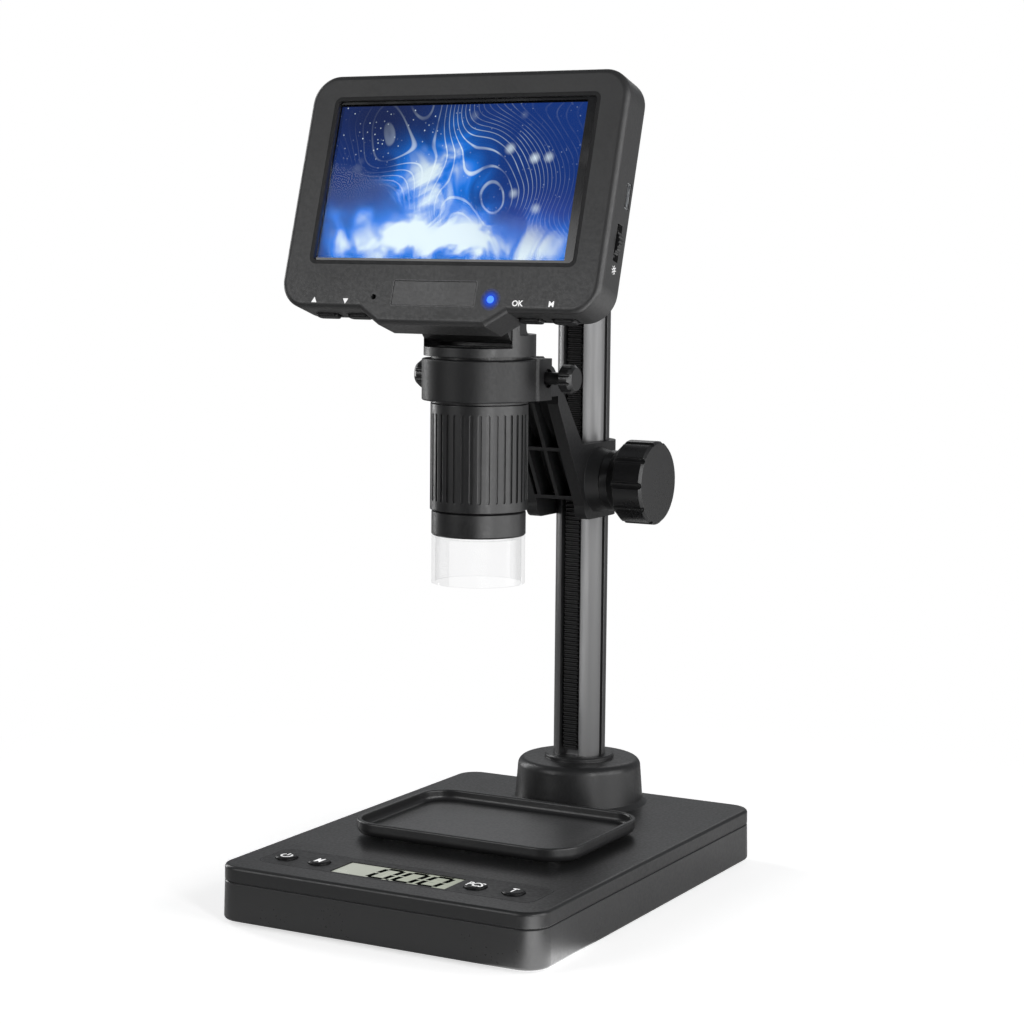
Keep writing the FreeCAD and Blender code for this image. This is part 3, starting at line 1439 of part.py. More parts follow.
def lcd_panel():
    half = panel_outline_width / 2
    low = panel_outline_z - panel_outline_height / 2
    high = panel_outline_z + panel_outline_height / 2
    return head_block(active_x - half, active_x + half, front_plate, front_plate + lcd_thickness, low, high)


def main_board():
    y0 = board_front_y()
    board_half = head_width / 2 - board_side_gap
    body = head_block(-board_half, board_half, y0, y0 + board_thickness, board_low, board_high)
    notch_half = wheel_radius + 1.0
    wheel_x = head_width / 2 + wheel_proud - wheel_radius
    body = body.cut(head_block(wheel_x - wheel_radius - 0.8, board_half + 1, y0 - 1,
                               y0 + board_thickness + 1,
                               wheel_z - notch_half, wheel_z + notch_half))
    chip = head_block(-12, 6, y0 + board_thickness, y0 + board_thickness + 1.4, -8, 10)
    for x, z in head_screw_places():
        body = body.cut(rod(head_post_radius + 0.4, Vector(x, y0 - 1, z), Vector(
            x, y0 + board_thickness + 1, z)))
    return body.fuse(chip).removeSplitter()


def head_battery():
    back = rear_box_depth - head_wall
    centre_z = (rear_box_low + rear_box_high) / 2
    body = upright(pack_width, pack_height, pack_round, back - pack_thickness, back, 0, centre_z)
    return body


def name_plate():
    width = name_plate_width - 2 * name_plate_gap
    height = name_plate_height - 2 * name_plate_gap
    return upright(width, height, name_plate_round,
                   name_plate_recess - name_plate_thickness, name_plate_recess, 0, name_plate_z)


def indicator_light():
    stem = rod(indicator_radius, Vector(indicator_x, -0.25, indicator_z),
               Vector(indicator_x, front_plate, indicator_z))
    flange = rod(indicator_radius + 0.6, Vector(indicator_x, front_plate, indicator_z),
                 Vector(indicator_x, front_plate + 1.2, indicator_z))
    stem = stem.makeFillet(indicator_round, edges_where(stem, lambda b: b.YMax < -0.2))
    return stem.fuse(flange).removeSplitter()


def head_button(x):
    low = -head_bottom - head_button_rise
    seat = -head_bottom + head_wall
    half_x = head_button_length / 2
    half_y = head_button_width / 2
    cap = head_block(x - half_x, x + half_x, head_button_depth_place - half_y,
                     head_button_depth_place + half_y,
                     low, seat)
    upright_edges = edges_where(cap, lambda b: b.ZLength > 1.5)
    cap = cap.makeFillet(head_button_width / 2 - 0.3, upright_edges)
    cap = cap.makeFillet(key_cap_round, edges_where(cap, lambda b: b.ZMax < low + 0.01))
    grow = head_button_gap + head_button_flange
    flange = head_block(x - half_x - grow, x + half_x + grow, head_button_depth_place - half_y - 0.4,
                        head_button_depth_place + half_y + 0.4, seat, seat + head_button_flange_height)
    return cap.fuse(flange).removeSplitter()


def brightness_wheel():
    wheel_x = head_width / 2 + wheel_proud - wheel_radius
    y0 = wheel_place - wheel_thickness / 2
    y1 = wheel_place + wheel_thickness / 2
    body = rod(wheel_radius, Vector(wheel_x, y0, wheel_z), Vector(wheel_x, y1, wheel_z))
    for index in range(wheel_teeth):
        angle = math.radians(360.0 * index / wheel_teeth)
        x = wheel_x + (wheel_radius + 0.2) * math.cos(angle)
        z = wheel_z + (wheel_radius + 0.2) * math.sin(angle)
        body = body.cut(rod(wheel_tooth_depth + 0.2, Vector(x, y0 - 1, z), Vector(x, y1 + 1, z)))
    return body.cut(rod(wheel_axle_radius + wheel_axle_clearance, Vector(wheel_x, y0 - 1, wheel_z),
                        Vector(wheel_x, y1 + 1, wheel_z)))


def power_socket():
    y0 = board_front_y() + board_thickness
    x1 = head_width / 2 - port_inset
    half = port_width / 2 - port_gap
    body = head_block(x1 - port_length, x1, y0, y0 + port_height - port_gap, port_z - half, port_z + half)
    inner = head_block(x1 - port_length + 1, x1 + 1, y0 + port_shell,
                       y0 + port_height - port_gap - port_shell,
                       port_z - half + port_shell, port_z + half - port_shell)
    tongue_y = y0 + (port_height - port_gap) / 2
    tongue = head_block(x1 - port_length + 1, x1 - 1, tongue_y - 0.35, tongue_y + 0.35,
                        port_z - half + 1.2, port_z + half - 1.2)
    return body.cut(inner).fuse(tongue).removeSplitter()


def card_slot():
    y0 = board_front_y() + board_thickness
    x0 = -head_width / 2 + port_inset
    half = card_slot_width / 2 - card_slot_gap
    height = card_slot_height - card_slot_gap
    body = head_block(x0, x0 + card_slot_length, y0, y0 + height, card_slot_z - half, card_slot_z + half)
    inner = head_block(x0 - 1, x0 + card_slot_length - 1, y0 + card_slot_shell,
                       y0 + height - card_slot_shell,
                       card_slot_z - half + card_slot_shell, card_slot_z + half - card_slot_shell)
    return body.cut(inner)


def head_screws():
    screws = []
    for x, z in head_screw_places():
        recess = head_thickness - head_screw_head_height
        head = rod(head_screw_head_radius, Vector(x, recess, z), Vector(x, head_thickness - 0.1, z))
        shank = rod(head_screw_radius, Vector(x, bezel_depth - head_screw_length + 1.5, z), Vector(
            x, recess, z))
        cross = head_block(x - 1.1, x + 1.1, head_thickness - 0.6, head_thickness, z - 0.25, z + 0.25)
        cross = cross.fuse(head_block(x - 0.25, x + 0.25, head_thickness - 0.6, head_thickness, z - 1.1,
                                      z + 1.1))
        screws.append(head.fuse(shank).removeSplitter().cut(cross))
    return Part.makeCompound(screws)


def all_nodes():
    nodes = {
        "base_lower_shell": base_lower_shell(),
        "base_top_cover": base_top_cover(),
        "base_screws": base_screws(),
        "rubber_feet": rubber_feet(),
        "control_panel": control_panel(),
        "scale_readout": scale_readout(),
        "scale_board": scale_board(),
        "load_cell": load_cell(),
        "load_cell_screws": load_cell_screws(),
        "platform_support": platform_support(),
        "weighing_tray": weighing_tray(),
        "battery_door": battery_door(),
        "scale_batteries": scale_batteries(),
        "battery_contacts": battery_contacts(),
        "column": column_tube(),
        "column_screw": column_screw(),
        "column_cap": column_cap(),
        "rack_strip": rack_strip(),
        "carriage_arm": carriage_arm(),
        "friction_pad": friction_pad(),
        "friction_screw": friction_screw(),
        "pinion_shaft": pinion_shaft(),
        "focus_knob": focus_knob(),
        "shaft_end_cap": shaft_end_cap(),
        "thumbscrew_right": thumbscrew_right(),
        "thumbscrew_left": mirrored(thumbscrew_right()),
        "barrel_tube": barrel_tube(),
        "tilt_yoke": yoke(),
        "hinge_pins": hinge_pins(),
        "focus_ring": focus_ring(),
        "nose_ring": nose_ring(),
        "lens_shield": lens_shield(),
        "lens_cell": lens_cell(),
        "objective_lens": objective_lens(),
        "lamp_ring": lamp_ring(),
        "sensor_board": sensor_board(),
    }
    for name, x in scale_button_places.items():
        nodes[name] = scale_button(x)
    head_nodes = {
        "front_bezel": front_bezel(),
        "rear_cover": rear_cover(),
        "screen_window": screen_window(),
        "lcd_panel": lcd_panel(),
        "main_board": main_board(),
        "head_battery": head_battery(),
        "name_plate": name_plate(),
        "indicator_light": indicator_light(),
        "brightness_wheel": brightness_wheel(),
        "power_socket": power_socket(),
        "card_slot": card_slot(),
        "head_screws": head_screws(),
    }
    for name, x in head_button_places.items():
        head_nodes[name] = head_button(x)
    for name, shape in head_nodes.items():
        nodes[name] = head_place(shape)
    return nodes


def main():
    os.makedirs("parts", exist_ok=True)
    for name, shape in all_nodes().items():
        shape.exportStep("parts/" + name + ".step")
        box = shape.BoundBox
        print("%-22s solids %d volume %9.1f valid %s z %.1f..%.1f" % (
            name, len(shape.Solids), shape.Volume, shape.isValid(), box.ZMin, box.ZMax))


main()
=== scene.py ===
"""Looks of an upright digital microscope with a flat screen and a scale base.

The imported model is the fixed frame. This script gives each of its nodes a finish,
adds the thin printed and lit details, and sets the floor, the lights and the camera.
Lengths of the object are millimetres, and are turned into metres on the way out.
The lights, the floor and the patterns of the finishes are in metres.
"""

from __future__ import annotations

import logging
import math
from dataclasses import dataclass, field
from enum import Enum
from typing import Iterable, Optional, Sequence, Union

import bmesh
import bpy
from mathutils import Matrix, Vector


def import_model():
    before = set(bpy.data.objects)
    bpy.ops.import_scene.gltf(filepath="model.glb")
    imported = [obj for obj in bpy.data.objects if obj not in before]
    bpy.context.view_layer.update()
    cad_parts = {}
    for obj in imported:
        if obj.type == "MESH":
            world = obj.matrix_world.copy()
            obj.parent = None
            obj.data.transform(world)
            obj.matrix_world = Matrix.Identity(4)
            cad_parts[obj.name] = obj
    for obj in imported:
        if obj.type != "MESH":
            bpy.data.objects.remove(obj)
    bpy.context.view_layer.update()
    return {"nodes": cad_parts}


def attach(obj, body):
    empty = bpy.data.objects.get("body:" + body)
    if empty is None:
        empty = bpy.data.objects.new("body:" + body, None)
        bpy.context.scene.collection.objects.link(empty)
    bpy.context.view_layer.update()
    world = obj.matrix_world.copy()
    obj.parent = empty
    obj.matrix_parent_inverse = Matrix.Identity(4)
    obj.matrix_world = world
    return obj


LOG = logging.getLogger("microscope")
MM = 0.001
NATURAL_BASE = 2.718
Colour = tuple[float, float, float]
Paint = tuple[float, float, float, float]
Pair = tuple[float, float]
Outline = list[Pair]
Socket = bpy.types.NodeSocket
Value = Union[float, Socket]
VECTOR = "NodeSocketVector"
NUMBER = "NodeSocketFloat"
COLOUR = "NodeSocketColor"
WHITE: Colour = (1.0, 1.0, 1.0)
BLACK_INK: Colour = (0.004, 0.004, 0.005)
DUST: Colour = (0.3, 0.3, 0.3)


class Body(str, Enum):
    """Names of the rigid bodies that added pieces ride on."""

    BASE = "base"
    HEAD = "head"
    KEY_POWER = "scale_key_power"
    KEY_MODE = "scale_key_mode"
    KEY_COUNT = "scale_key_count"
    KEY_TARE = "scale_key_tare"


class Slot(str, Enum):
    """Names of material slots that added pieces are passed with; nothing reads them."""

    BUTTON = "button_plastic"
    PANEL = "panel_gloss"
    READOUT = "readout_glass"
    HEAD = "head_plastic"


class Face(Enum):
    """Surfaces that flat details lie on."""

    BASE_TOP = "base_top"
    SCREEN_FRONT = "screen_front"
    HEAD_SIDE = "head_side"


@dataclass(frozen=True)
class HeadPose:
    """Place of the display head: its own frame is x right, y back, z up the face."""

    tilt_deg: float = 16.87
    y: float = -36.8
    z: float = 250.1

    def matrix(self) -> Matrix:
        """Gives the head's place as a matrix in metres."""
        turn = Matrix.Rotation(-math.radians(self.tilt_deg), 4, "X")
        return Matrix.Translation(Vector((0.0, self.y * MM, self.z * MM))) @ turn


@dataclass(frozen=True)
class ScreenArea:
    """The clear part of the window and the lit part behind it, in millimetres of the head's face."""

    centre_x: float = -1.8
    window_half: Pair = (47.9, 27.2)
    picture_half: Pair = (47.5, 26.9)


HEAD_POSE = HeadPose()
SCREEN_AREA = ScreenArea()


def opaque(colour: Colour) -> Paint:
    """Gives a colour full opacity."""
    return (*colour, 1.0)


def toned(colour: Colour, gain: float, lift: float = 0.0) -> Paint:
    """Gives a colour made lighter or darker, with full opacity."""
    return opaque(tuple(min(1.0, part * gain + lift) for part in colour))


class Graph:
    """A thin layer over a node tree that keeps node code short."""

    def __init__(self, tree: bpy.types.NodeTree) -> None:
        """Keeps the tree that nodes are added to."""
        self.tree = tree

    def node(self, kind: str, **settings: object) -> bpy.types.Node:
        """Adds one node and sets its properties.

        Args:
            kind: The node's type name.
            **settings: Its properties by name.

        Returns:
            The new node.
        """
        made = self.tree.nodes.new(kind)
        for name, value in settings.items():
            setattr(made, name, value)
        return made

    def feed(self, target: Socket, value: Value | Sequence[float]) -> None:
        """Links a socket into the target, or sets the target's own value.

        Args:
            target: The input to feed.
            value: A socket to link, or a value to set.
        """
        if isinstance(value, bpy.types.NodeSocket):
            self.tree.links.new(value, target)
        else:
            target.default_value = value

    def fill(self, made: bpy.types.Node, inputs: dict[str, Value | Sequence[float]]) -> bpy.types.Node:
        """Feeds several named inputs of a node.

        Args:
            made: The node.
            inputs: What to feed, by the inputs' names.

        Returns:
            The same node.
        """
        for name, value in inputs.items():
            self.feed(made.inputs[name], value)
        return made

    def math(self, operation: str, *values: Value, clamp: bool = False) -> Socket:
        """Adds one step of arithmetic.

        Args:
            operation: The name of the operation.
            *values: Its operands.
            clamp: Whether the result is held between 0 and 1.

        Returns:
            The result.
        """
        made = self.node("ShaderNodeMath", operation=operation, use_clamp=clamp)
        for index, value in enumerate(values):
            self.feed(made.inputs[index], value)
        return made.outputs[0]

    def product(self, first: Value, *others: Value) -> Value:
        """Multiplies values together.

        Args:
            first: The first value.
            *others: The others.

        Returns:
            Their product.
        """
        for value in others:
            first = self.math("MULTIPLY", first, value)
        return first

    def total(self, first: Value, *others: Value, clamp: bool = False) -> Value:
        """Adds values up.

        Args:
            first: The first value.
            *others: The others.
            clamp: Whether the sum is held between 0 and 1.

        Returns:
            Their sum.
        """
        for left, value in zip(range(len(others), 0, -1), others):
            first = self.math("ADD", first, value, clamp=clamp and left == 1)
        return first

    def vector(self, operation: str, *values: Socket | Sequence[float]) -> bpy.types.Node:
        """Adds one step of vector arithmetic.

        Args:
            operation: The name of the operation.
            *values: Its operands.

        Returns:
            The node, whose first output is a vector and whose Value output is a number.
        """
        made = self.node("ShaderNodeVectorMath", operation=operation)
        for index, value in enumerate(values):
            self.feed(made.inputs[index], value)
        return made

    def axes(self, vector: Socket) -> tuple[Socket, ...]:
        """Splits a vector into its three parts."""
        made = self.node("ShaderNodeSeparateXYZ")
        return tuple(self.fill(made, {"Vector": vector}).outputs)

    def mapped(self, vector: Socket, **settings: Sequence[float]) -> Socket:
        """Turns or stretches the space that a pattern lies in.

        Args:
            vector: The point.
            **settings: The mapping's inputs by name, in small letters.

        Returns:
            The changed point.
        """
        made = self.fill(self.node("ShaderNodeMapping"), {"Vector": vector})
        return self.fill(made, {name.capitalize(): value for name, value in settings.items()}).outputs[0]

    def ramp(self, value: Value, low: Value, high: Value, start: Value = 0.0, end: Value = 1.0) -> Socket:
        """Maps one span of a value smoothly onto another.

        Args:
            value: The value.
            low: Where the span starts.
            high: Where it ends.
            start: The result at the start.
            end: The result at the end.

        Returns:
            The mapped value.
        """
        made = self.node("ShaderNodeMapRange", interpolation_type="SMOOTHSTEP")
        for index, item in enumerate((value, low, high, start, end)):
            self.feed(made.inputs[index], item)
        return made.outputs[0]

    def noise(self, vector: Socket, scale: Value, detail: float = 2.0, warp: float = 0.0) -> bpy.types.Node:
        """Adds a cloudy pattern.

        Args:
            vector: The point that it follows.
            scale: Its fineness.
            detail: How many finer layers it has.
            warp: How far it is bent.

        Returns:
            The node, whose first output is a value and whose second is a colour.
        """
        made = self.node("ShaderNodeTexNoise")
        return self.fill(made, {"Vector": vector, "Scale": scale, "Detail": detail, "Distortion": warp})

    def mix(self, factor: Value, first: Socket | Paint, second: Socket | Paint) -> Socket:
        """Mixes two colours.

        Args:
            factor: The share of the second colour.
            first: The first colour.
            second: The second colour.

        Returns:
            The mixed colour.
        """
        made = self.node("ShaderNodeMix", data_type="RGBA")
        self.feed(made.inputs["Factor"], factor)
        self.feed(made.inputs[6], first)
        self.feed(made.inputs[7], second)
        return made.outputs[2]

    def bell(self, across: Socket, up: Socket, centre: Pair, spread: Pair) -> Socket:
        """Makes a soft round hill of height one.

        Args:
            across: The point's place across.
            up: The point's place up.
            centre: The hill's middle.
            spread: How far it reaches across and up.

        Returns:
            The hill's height at the point.
        """
        squares = []
        for place, middle, reach in zip((across, up), centre, spread):
            away = self.math("DIVIDE", self.math("SUBTRACT", place, middle), reach)
            squares.append(self.product(away, away))
        return self.math("POWER", NATURAL_BASE, self.product(self.total(*squares), -1.0))

    def shader(self, kind: str, inputs: dict[str, Value | Sequence[float]]) -> Socket:
        """Adds a shader node, fills its inputs and gives its output."""
        return self.fill(self.node(kind), inputs).outputs[0]

    def blend(self, factor: Value, first: Socket, second: Socket) -> Socket:
        """Mixes two shaders.

        Args:
            factor: The share of the second shader.
            first: The first shader.
            second: The second shader.

        Returns:
            The mixed shader.
        """
        made = self.node("ShaderNodeMixShader")
        for index, item in enumerate((factor, first, second)):
            self.feed(made.inputs[index], item)
        return made.outputs[0]


GroupParts = tuple[Graph, bpy.types.Node, dict[str, Socket]]


def new_group(name: str, inputs: dict[str, float], outputs: dict[str, str]) -> GroupParts:
    """Starts a shader node group.

    Args:
        name: The group's name.
        inputs: Float inputs with their defaults. A vector input named Vector is always made.
        outputs: Output names with their socket types.

    Returns:
        The graph, the group's input node and its output sockets by name.
    """
    tree = bpy.data.node_groups.new(name, "ShaderNodeTree")
    tree.interface.new_socket("Vector", in_out="INPUT", socket_type=VECTOR)
    for label, value in inputs.items():
        made = tree.interface.new_socket(label, in_out="INPUT", socket_type=NUMBER)
        made.default_value = value
    for label, kind in outputs.items():
        tree.interface.new_socket(label, in_out="OUTPUT", socket_type=kind)
    graph = Graph(tree)
    start = graph.node("NodeGroupInput")
    end = graph.node("NodeGroupOutput")
    return graph, start, {label: end.inputs[label] for label in outputs}


@dataclass(frozen=True)
class MouldedGrain:
    """How the fine grain of moulded plastic is made up."""

    coarse_scale: float = 0.37
    coarse_share: float = 0.6
    height: float = 0.00004
    speckle_span: Pair = (0.58, 0.78)
    shift_span: Pair = (0.3, 0.7)
    shift: float = 0.05


@dataclass(frozen=True)
class Handling:
    """How the faint smears and the dust are made up."""

    smear_warp: float = 1.2
    smear_span: Pair = (0.35, 0.75)
    dust_scale: float = 900.0
    dust_span: Pair = (0.72, 0.8)


@dataclass(frozen=True)
class SoftEdges:
    """How edges are rounded and worn."""

    samples: int = 8
    radius: float = 0.00035
    wear_span: Pair = (0.995, 0.80)


@dataclass(frozen=True)
class Glow:
    """A soft light on the screen, in millimetres of its face."""

    centre: Pair
    spread: Pair
    strength: float = 1.0


@dataclass(frozen=True)
class Picture:
    """Design of the lit picture: blue light, contour threads, stars and round motes."""

    blooms: tuple[Glow, ...] = (
        Glow((-24.0, -19.0), (22.0, 10.0)),
        Glow((20.0, -22.0), (26.0, 9.0), 0.9),
        Glow((-6.0, 3.0), (17.0, 15.0), 0.7),
    )
    violet: Glow = Glow((34.0, -14.0), (18.0, 9.0), 0.6)
    night: Glow = Glow((-32.0, 24.0), (30.0, 15.0), 0.85)
    haze_scale: float = 0.05
    haze_warp: float = 1.2
    veil_span: Pair = (0.32, 0.72)
    least_veil: float = 0.4
    drift_scale: float = 0.028
    drift_warp: float = 0.4
    drift_reach: tuple[float, float, float] = (75.0, 75.0, 0.0)
    thread_turn_deg: float = -34.0
    thread_scale: float = 0.11
    thread_warp: float = 0.6
    thread_span: Pair = (0.90, 1.0)
    thread_haze_span: Pair = (0.3, 0.6)
    thread_area: Glow = Glow((4.0, 6.0), (26.0, 17.0))
    thread_in_bloom: float = 0.4
    thread_light: float = 0.85
    star_scale: float = 0.62
    star_span: Pair = (0.20, 0.05)
    star_choice: Pair = (0.35, 0.9)
    star_area: Glow = Glow((-30.0, 20.0), (24.0, 10.0))
    star_elsewhere: float = 0.2
    star_light: float = 1.3
    mote_scale: float = 0.1
    mote_span: Pair = (0.26, 0.0)
    mote_area: Glow = Glow((26.0, 2.0), (22.0, 18.0))
    mote_elsewhere: float = 0.15
    mote_light: float = 0.7
    blue_span: Pair = (0.0, 0.4)
    white_span: Pair = (0.3, 0.8)
    deep_blue: Colour = (0.008, 0.035, 0.19)
    clear_blue: Colour = (0.012, 0.20, 0.82)
    bloom_white: Colour = (0.80, 0.94, 1.0)
    violet_tone: Colour = (0.05, 0.07, 0.34)
    night_tone: Colour = (0.012, 0.018, 0.06)
    thread_tone: Colour = (0.80, 0.93, 1.0)


GRAIN = MouldedGrain()
HANDLING = Handling()
EDGES = SoftEdges()
PICTURE = Picture()


@dataclass
class Effects:
    """Shared shader effects, each built once as a node group."""

    groups: dict[str, bpy.types.NodeTree] = field(default_factory=dict)

    def get(self, name: str) -> bpy.types.NodeTree:
        """Gives a group, and builds it at its first use.

        Args:
            name: The group's name.

        Returns:
            The group's tree.
        """
        makers = {
            "moulded_grain": self._moulded_grain,
            "handling": self._handling,
            "soft_edges": self._soft_edges,
            "face_place": self._face_place,
            "box_mask": self._box_mask,
            "lit_picture": self._lit_picture,
            "soft_patch": self._soft_patch,
        }
        if name not in self.groups:
            self.groups[name] = makers[name]()
        return self.groups[name]

    def use(self, graph: Graph, name: str, vector: Optional[Socket], **values: Value) -> bpy.types.Node:
        """Puts a group into a material's graph.

        Args:
            graph: The material's graph.
            name: Which group.
            vector: The point it works on.
            **values: Its float inputs, with underscores for spaces.

        Returns:
            The group node.
        """
        made = graph.node("ShaderNodeGroup", node_tree=self.get(name))
        if vector is not None:
            graph.feed(made.inputs["Vector"], vector)
        for label, value in values.items():
            graph.feed(made.inputs[label.replace("_", " ").capitalize()], value)
        return made

    @staticmethod
    def _moulded_grain() -> bpy.types.NodeTree:
        """Builds the fine grain of a mould: a normal, a speckle mask and a roughness shift.

        Returns:
            The group's tree.
        """
        graph, start, out = new_group(
            "moulded_grain",
            {"Grain": 2600.0, "Depth": 1.0},
            {"Normal": VECTOR, "Speckle": NUMBER, "Roughness shift": NUMBER},
        )
        point, size = start.outputs["Vector"], start.outputs["Grain"]
        fine = graph.noise(point, size, 3.0).outputs[0]
        coarse = graph.noise(point, graph.product(size, GRAIN.coarse_scale)).outputs[0]
        height = graph.total(fine, graph.product(coarse, GRAIN.coarse_share))
        bump = graph.node("ShaderNodeBump")
        graph.fill(bump, {"Distance": GRAIN.height, "Strength": start.outputs["Depth"], "Height": height})
        graph.feed(out["Normal"], bump.outputs[0])
        graph.feed(out["Speckle"], graph.ramp(fine, *GRAIN.speckle_span))
        graph.feed(out["Roughness shift"], graph.ramp(coarse, *GRAIN.shift_span, -GRAIN.shift, GRAIN.shift))
        return graph.tree

    @staticmethod
    def _handling() -> bpy.types.NodeTree:
        """Builds faint smears and dust from handling: a wide mask and a dust mask.

        Returns:
            The group's tree.
        """
        graph, start, out = new_group("handling", {"Spread": 22.0}, {"Smear": NUMBER, "Dust": NUMBER})
        point = start.outputs["Vector"]
        wide = graph.noise(point, start.outputs["Spread"], 4.0, HANDLING.smear_warp).outputs[0]
        specks = graph.noise(point, HANDLING.dust_scale, 1.0).outputs[0]
        graph.feed(out["Smear"], graph.ramp(wide, *HANDLING.smear_span))
        graph.feed(out["Dust"], graph.product(graph.ramp(specks, *HANDLING.dust_span), wide))
        return graph.tree

    @staticmethod
    def _soft_edges() -> bpy.types.NodeTree:
        """Builds a worn-edge mask and the softened normal of a small bevel.

        Returns:
            The group's tree.
        """
        graph, _, out = new_group("soft_edges", {}, {"Edge": NUMBER, "Normal": VECTOR})
        bevel = graph.fill(graph.node("ShaderNodeBevel", samples=EDGES.samples), {"Radius": EDGES.radius})
        geometry = graph.node("ShaderNodeNewGeometry")
        dot = graph.vector("DOT_PRODUCT", bevel.outputs[0], geometry.outputs["Normal"])
        graph.feed(out["Edge"], graph.ramp(dot.outputs["Value"], *EDGES.wear_span))
        graph.feed(out["Normal"], bevel.outputs[0])
        return graph.tree

    @staticmethod
    def _face_place() -> bpy.types.NodeTree:
        """Builds the step from an object point to head face coordinates in millimetres.

        Returns:
            The group's tree.
        """
        graph, start, out = new_group("face_place", {}, {"Across": NUMBER, "Up": NUMBER, "Face": VECTOR})
        back = HEAD_POSE.matrix().inverted()
        places = []
        for row in (back[0], back[2]):
            dot = graph.vector("DOT_PRODUCT", start.outputs["Vector"], tuple(part / MM for part in row[:3]))
            places.append(graph.total(dot.outputs["Value"], row[3] / MM))
        joined = graph.node("ShaderNodeCombineXYZ")
        for index, (label, place) in enumerate(zip(("Across", "Up"), places)):
            graph.feed(out[label], place)
            graph.feed(joined.inputs[index], place)
        graph.feed(out["Face"], joined.outputs[0])
        return graph.tree

    @staticmethod
    def _beyond_sides(graph: Graph, start: bpy.types.Node) -> list[Socket]:
        """Measures how far a point lies beyond the sides of a rectangle.

        Args:
            graph: The group's graph.
            start: The group's input node, with the rectangle's centre and half sizes.

        Returns:
            The distances along X and Y, negative inside.
        """
        beyond = []
        for part, axis in zip(graph.axes(start.outputs["Vector"]), "xy"):
            away = graph.math("ABSOLUTE", graph.math("SUBTRACT", part, start.outputs["Centre " + axis]))
            beyond.append(graph.math("SUBTRACT", away, start.outputs["Half " + axis]))
        return beyond

    @classmethod
    def _box_mask(cls) -> bpy.types.NodeTree:
        """Builds a mask that is one inside a rectangle of X and Y and zero outside.

        Returns:
            The group's tree.
        """
        graph, start, out = new_group(
            "box_mask",
            {"Centre x": 0.0, "Centre y": 0.0, "Half x": 1.0, "Half y": 1.0, "Soft": 0.05},
            {"Mask": NUMBER},
        )
        soft = start.outputs["Soft"]
        sides = [graph.math("LESS_THAN", over, soft) for over in cls._beyond_sides(graph, start)]
        graph.feed(out["Mask"], graph.product(*sides))
        return graph.tree

    @classmethod
    def _soft_patch(cls) -> bpy.types.NodeTree:
        """Builds a mask that is one in the middle of a rectangle in metres and fades to its sides.

        Returns:
            The group's tree.
        """
        graph, start, out = new_group(
            "soft_patch",
            {"Centre x": 0.0, "Centre y": 0.0, "Half x": 0.03, "Half y": 0.02, "Soft": 0.008},
            {"Mask": NUMBER},
        )
        soft = start.outputs["Soft"]
        shares = [graph.math("DIVIDE", over, soft) for over in cls._beyond_sides(graph, start)]
        graph.feed(out["Mask"], graph.product(*(graph.ramp(share, 0.0, -1.0) for share in shares)))
        return graph.tree

    @staticmethod
    def _lit_picture() -> bpy.types.NodeTree:
        """Builds the picture on the screen from its design.

        Returns:
            The group's tree.
        """
        graph, start, out = new_group("lit_picture", {}, {"Colour": COLOUR})
        point = start.outputs["Vector"]
        across, up, _ = graph.axes(point)

        def glow(item: Glow) -> Socket:
            """Gives the light of one glow."""
            return graph.product(graph.bell(across, up, item.centre, item.spread), item.strength)

        def spots(scale: float, span: Pair) -> tuple[Socket, Socket]:
            """Scatters round spots over the face.

            Args:
                scale: How close they lie.
                span: The distances between which a spot's light falls or rises.

            Returns:
                The spots' light, and a colour that differs from spot to spot.
            """
            cells = graph.node("ShaderNodeTexVoronoi", feature="F1")
            graph.fill(cells, {"Vector": point, "Scale": scale})
            return graph.ramp(cells.outputs["Distance"], *span), cells.outputs["Color"]

        haze = graph.noise(point, PICTURE.haze_scale, 3.0, PICTURE.haze_warp).outputs[0]
        veil = graph.total(graph.ramp(haze, *PICTURE.veil_span), PICTURE.least_veil)
        bright = graph.product(graph.total(*(glow(item) for item in PICTURE.blooms)), veil)

        drift = graph.noise(point, PICTURE.drift_scale, 0.0, PICTURE.drift_warp).outputs[1]
        warped = graph.vector("MULTIPLY_ADD", drift, PICTURE.drift_reach, point).outputs[0]
        turned = graph.mapped(warped, rotation=(0.0, 0.0, math.radians(PICTURE.thread_turn_deg)))
        waves = graph.node("ShaderNodeTexWave", wave_type="BANDS", bands_direction="X")
        graph.fill(waves, {"Vector": turned, "Scale": PICTURE.thread_scale,
                           "Distortion": PICTURE.thread_warp, "Detail": 0.0})
        reach = graph.total(glow(PICTURE.thread_area), graph.product(bright, PICTURE.thread_in_bloom))
        threads = graph.product(graph.ramp(waves.outputs["Fac"], *PICTURE.thread_span), reach,
                                graph.ramp(haze, *PICTURE.thread_haze_span))

        stars, chance = spots(PICTURE.star_scale, PICTURE.star_span)
        split = graph.fill(graph.node("ShaderNodeSeparateColor"), {"Color": chance})
        stars = graph.product(stars, graph.ramp(split.outputs[0], *PICTURE.star_choice),
                              graph.total(glow(PICTURE.star_area), PICTURE.star_elsewhere))
        motes, _ = spots(PICTURE.mote_scale, PICTURE.mote_span)
        motes = graph.product(motes, graph.total(glow(PICTURE.mote_area), PICTURE.mote_elsewhere))

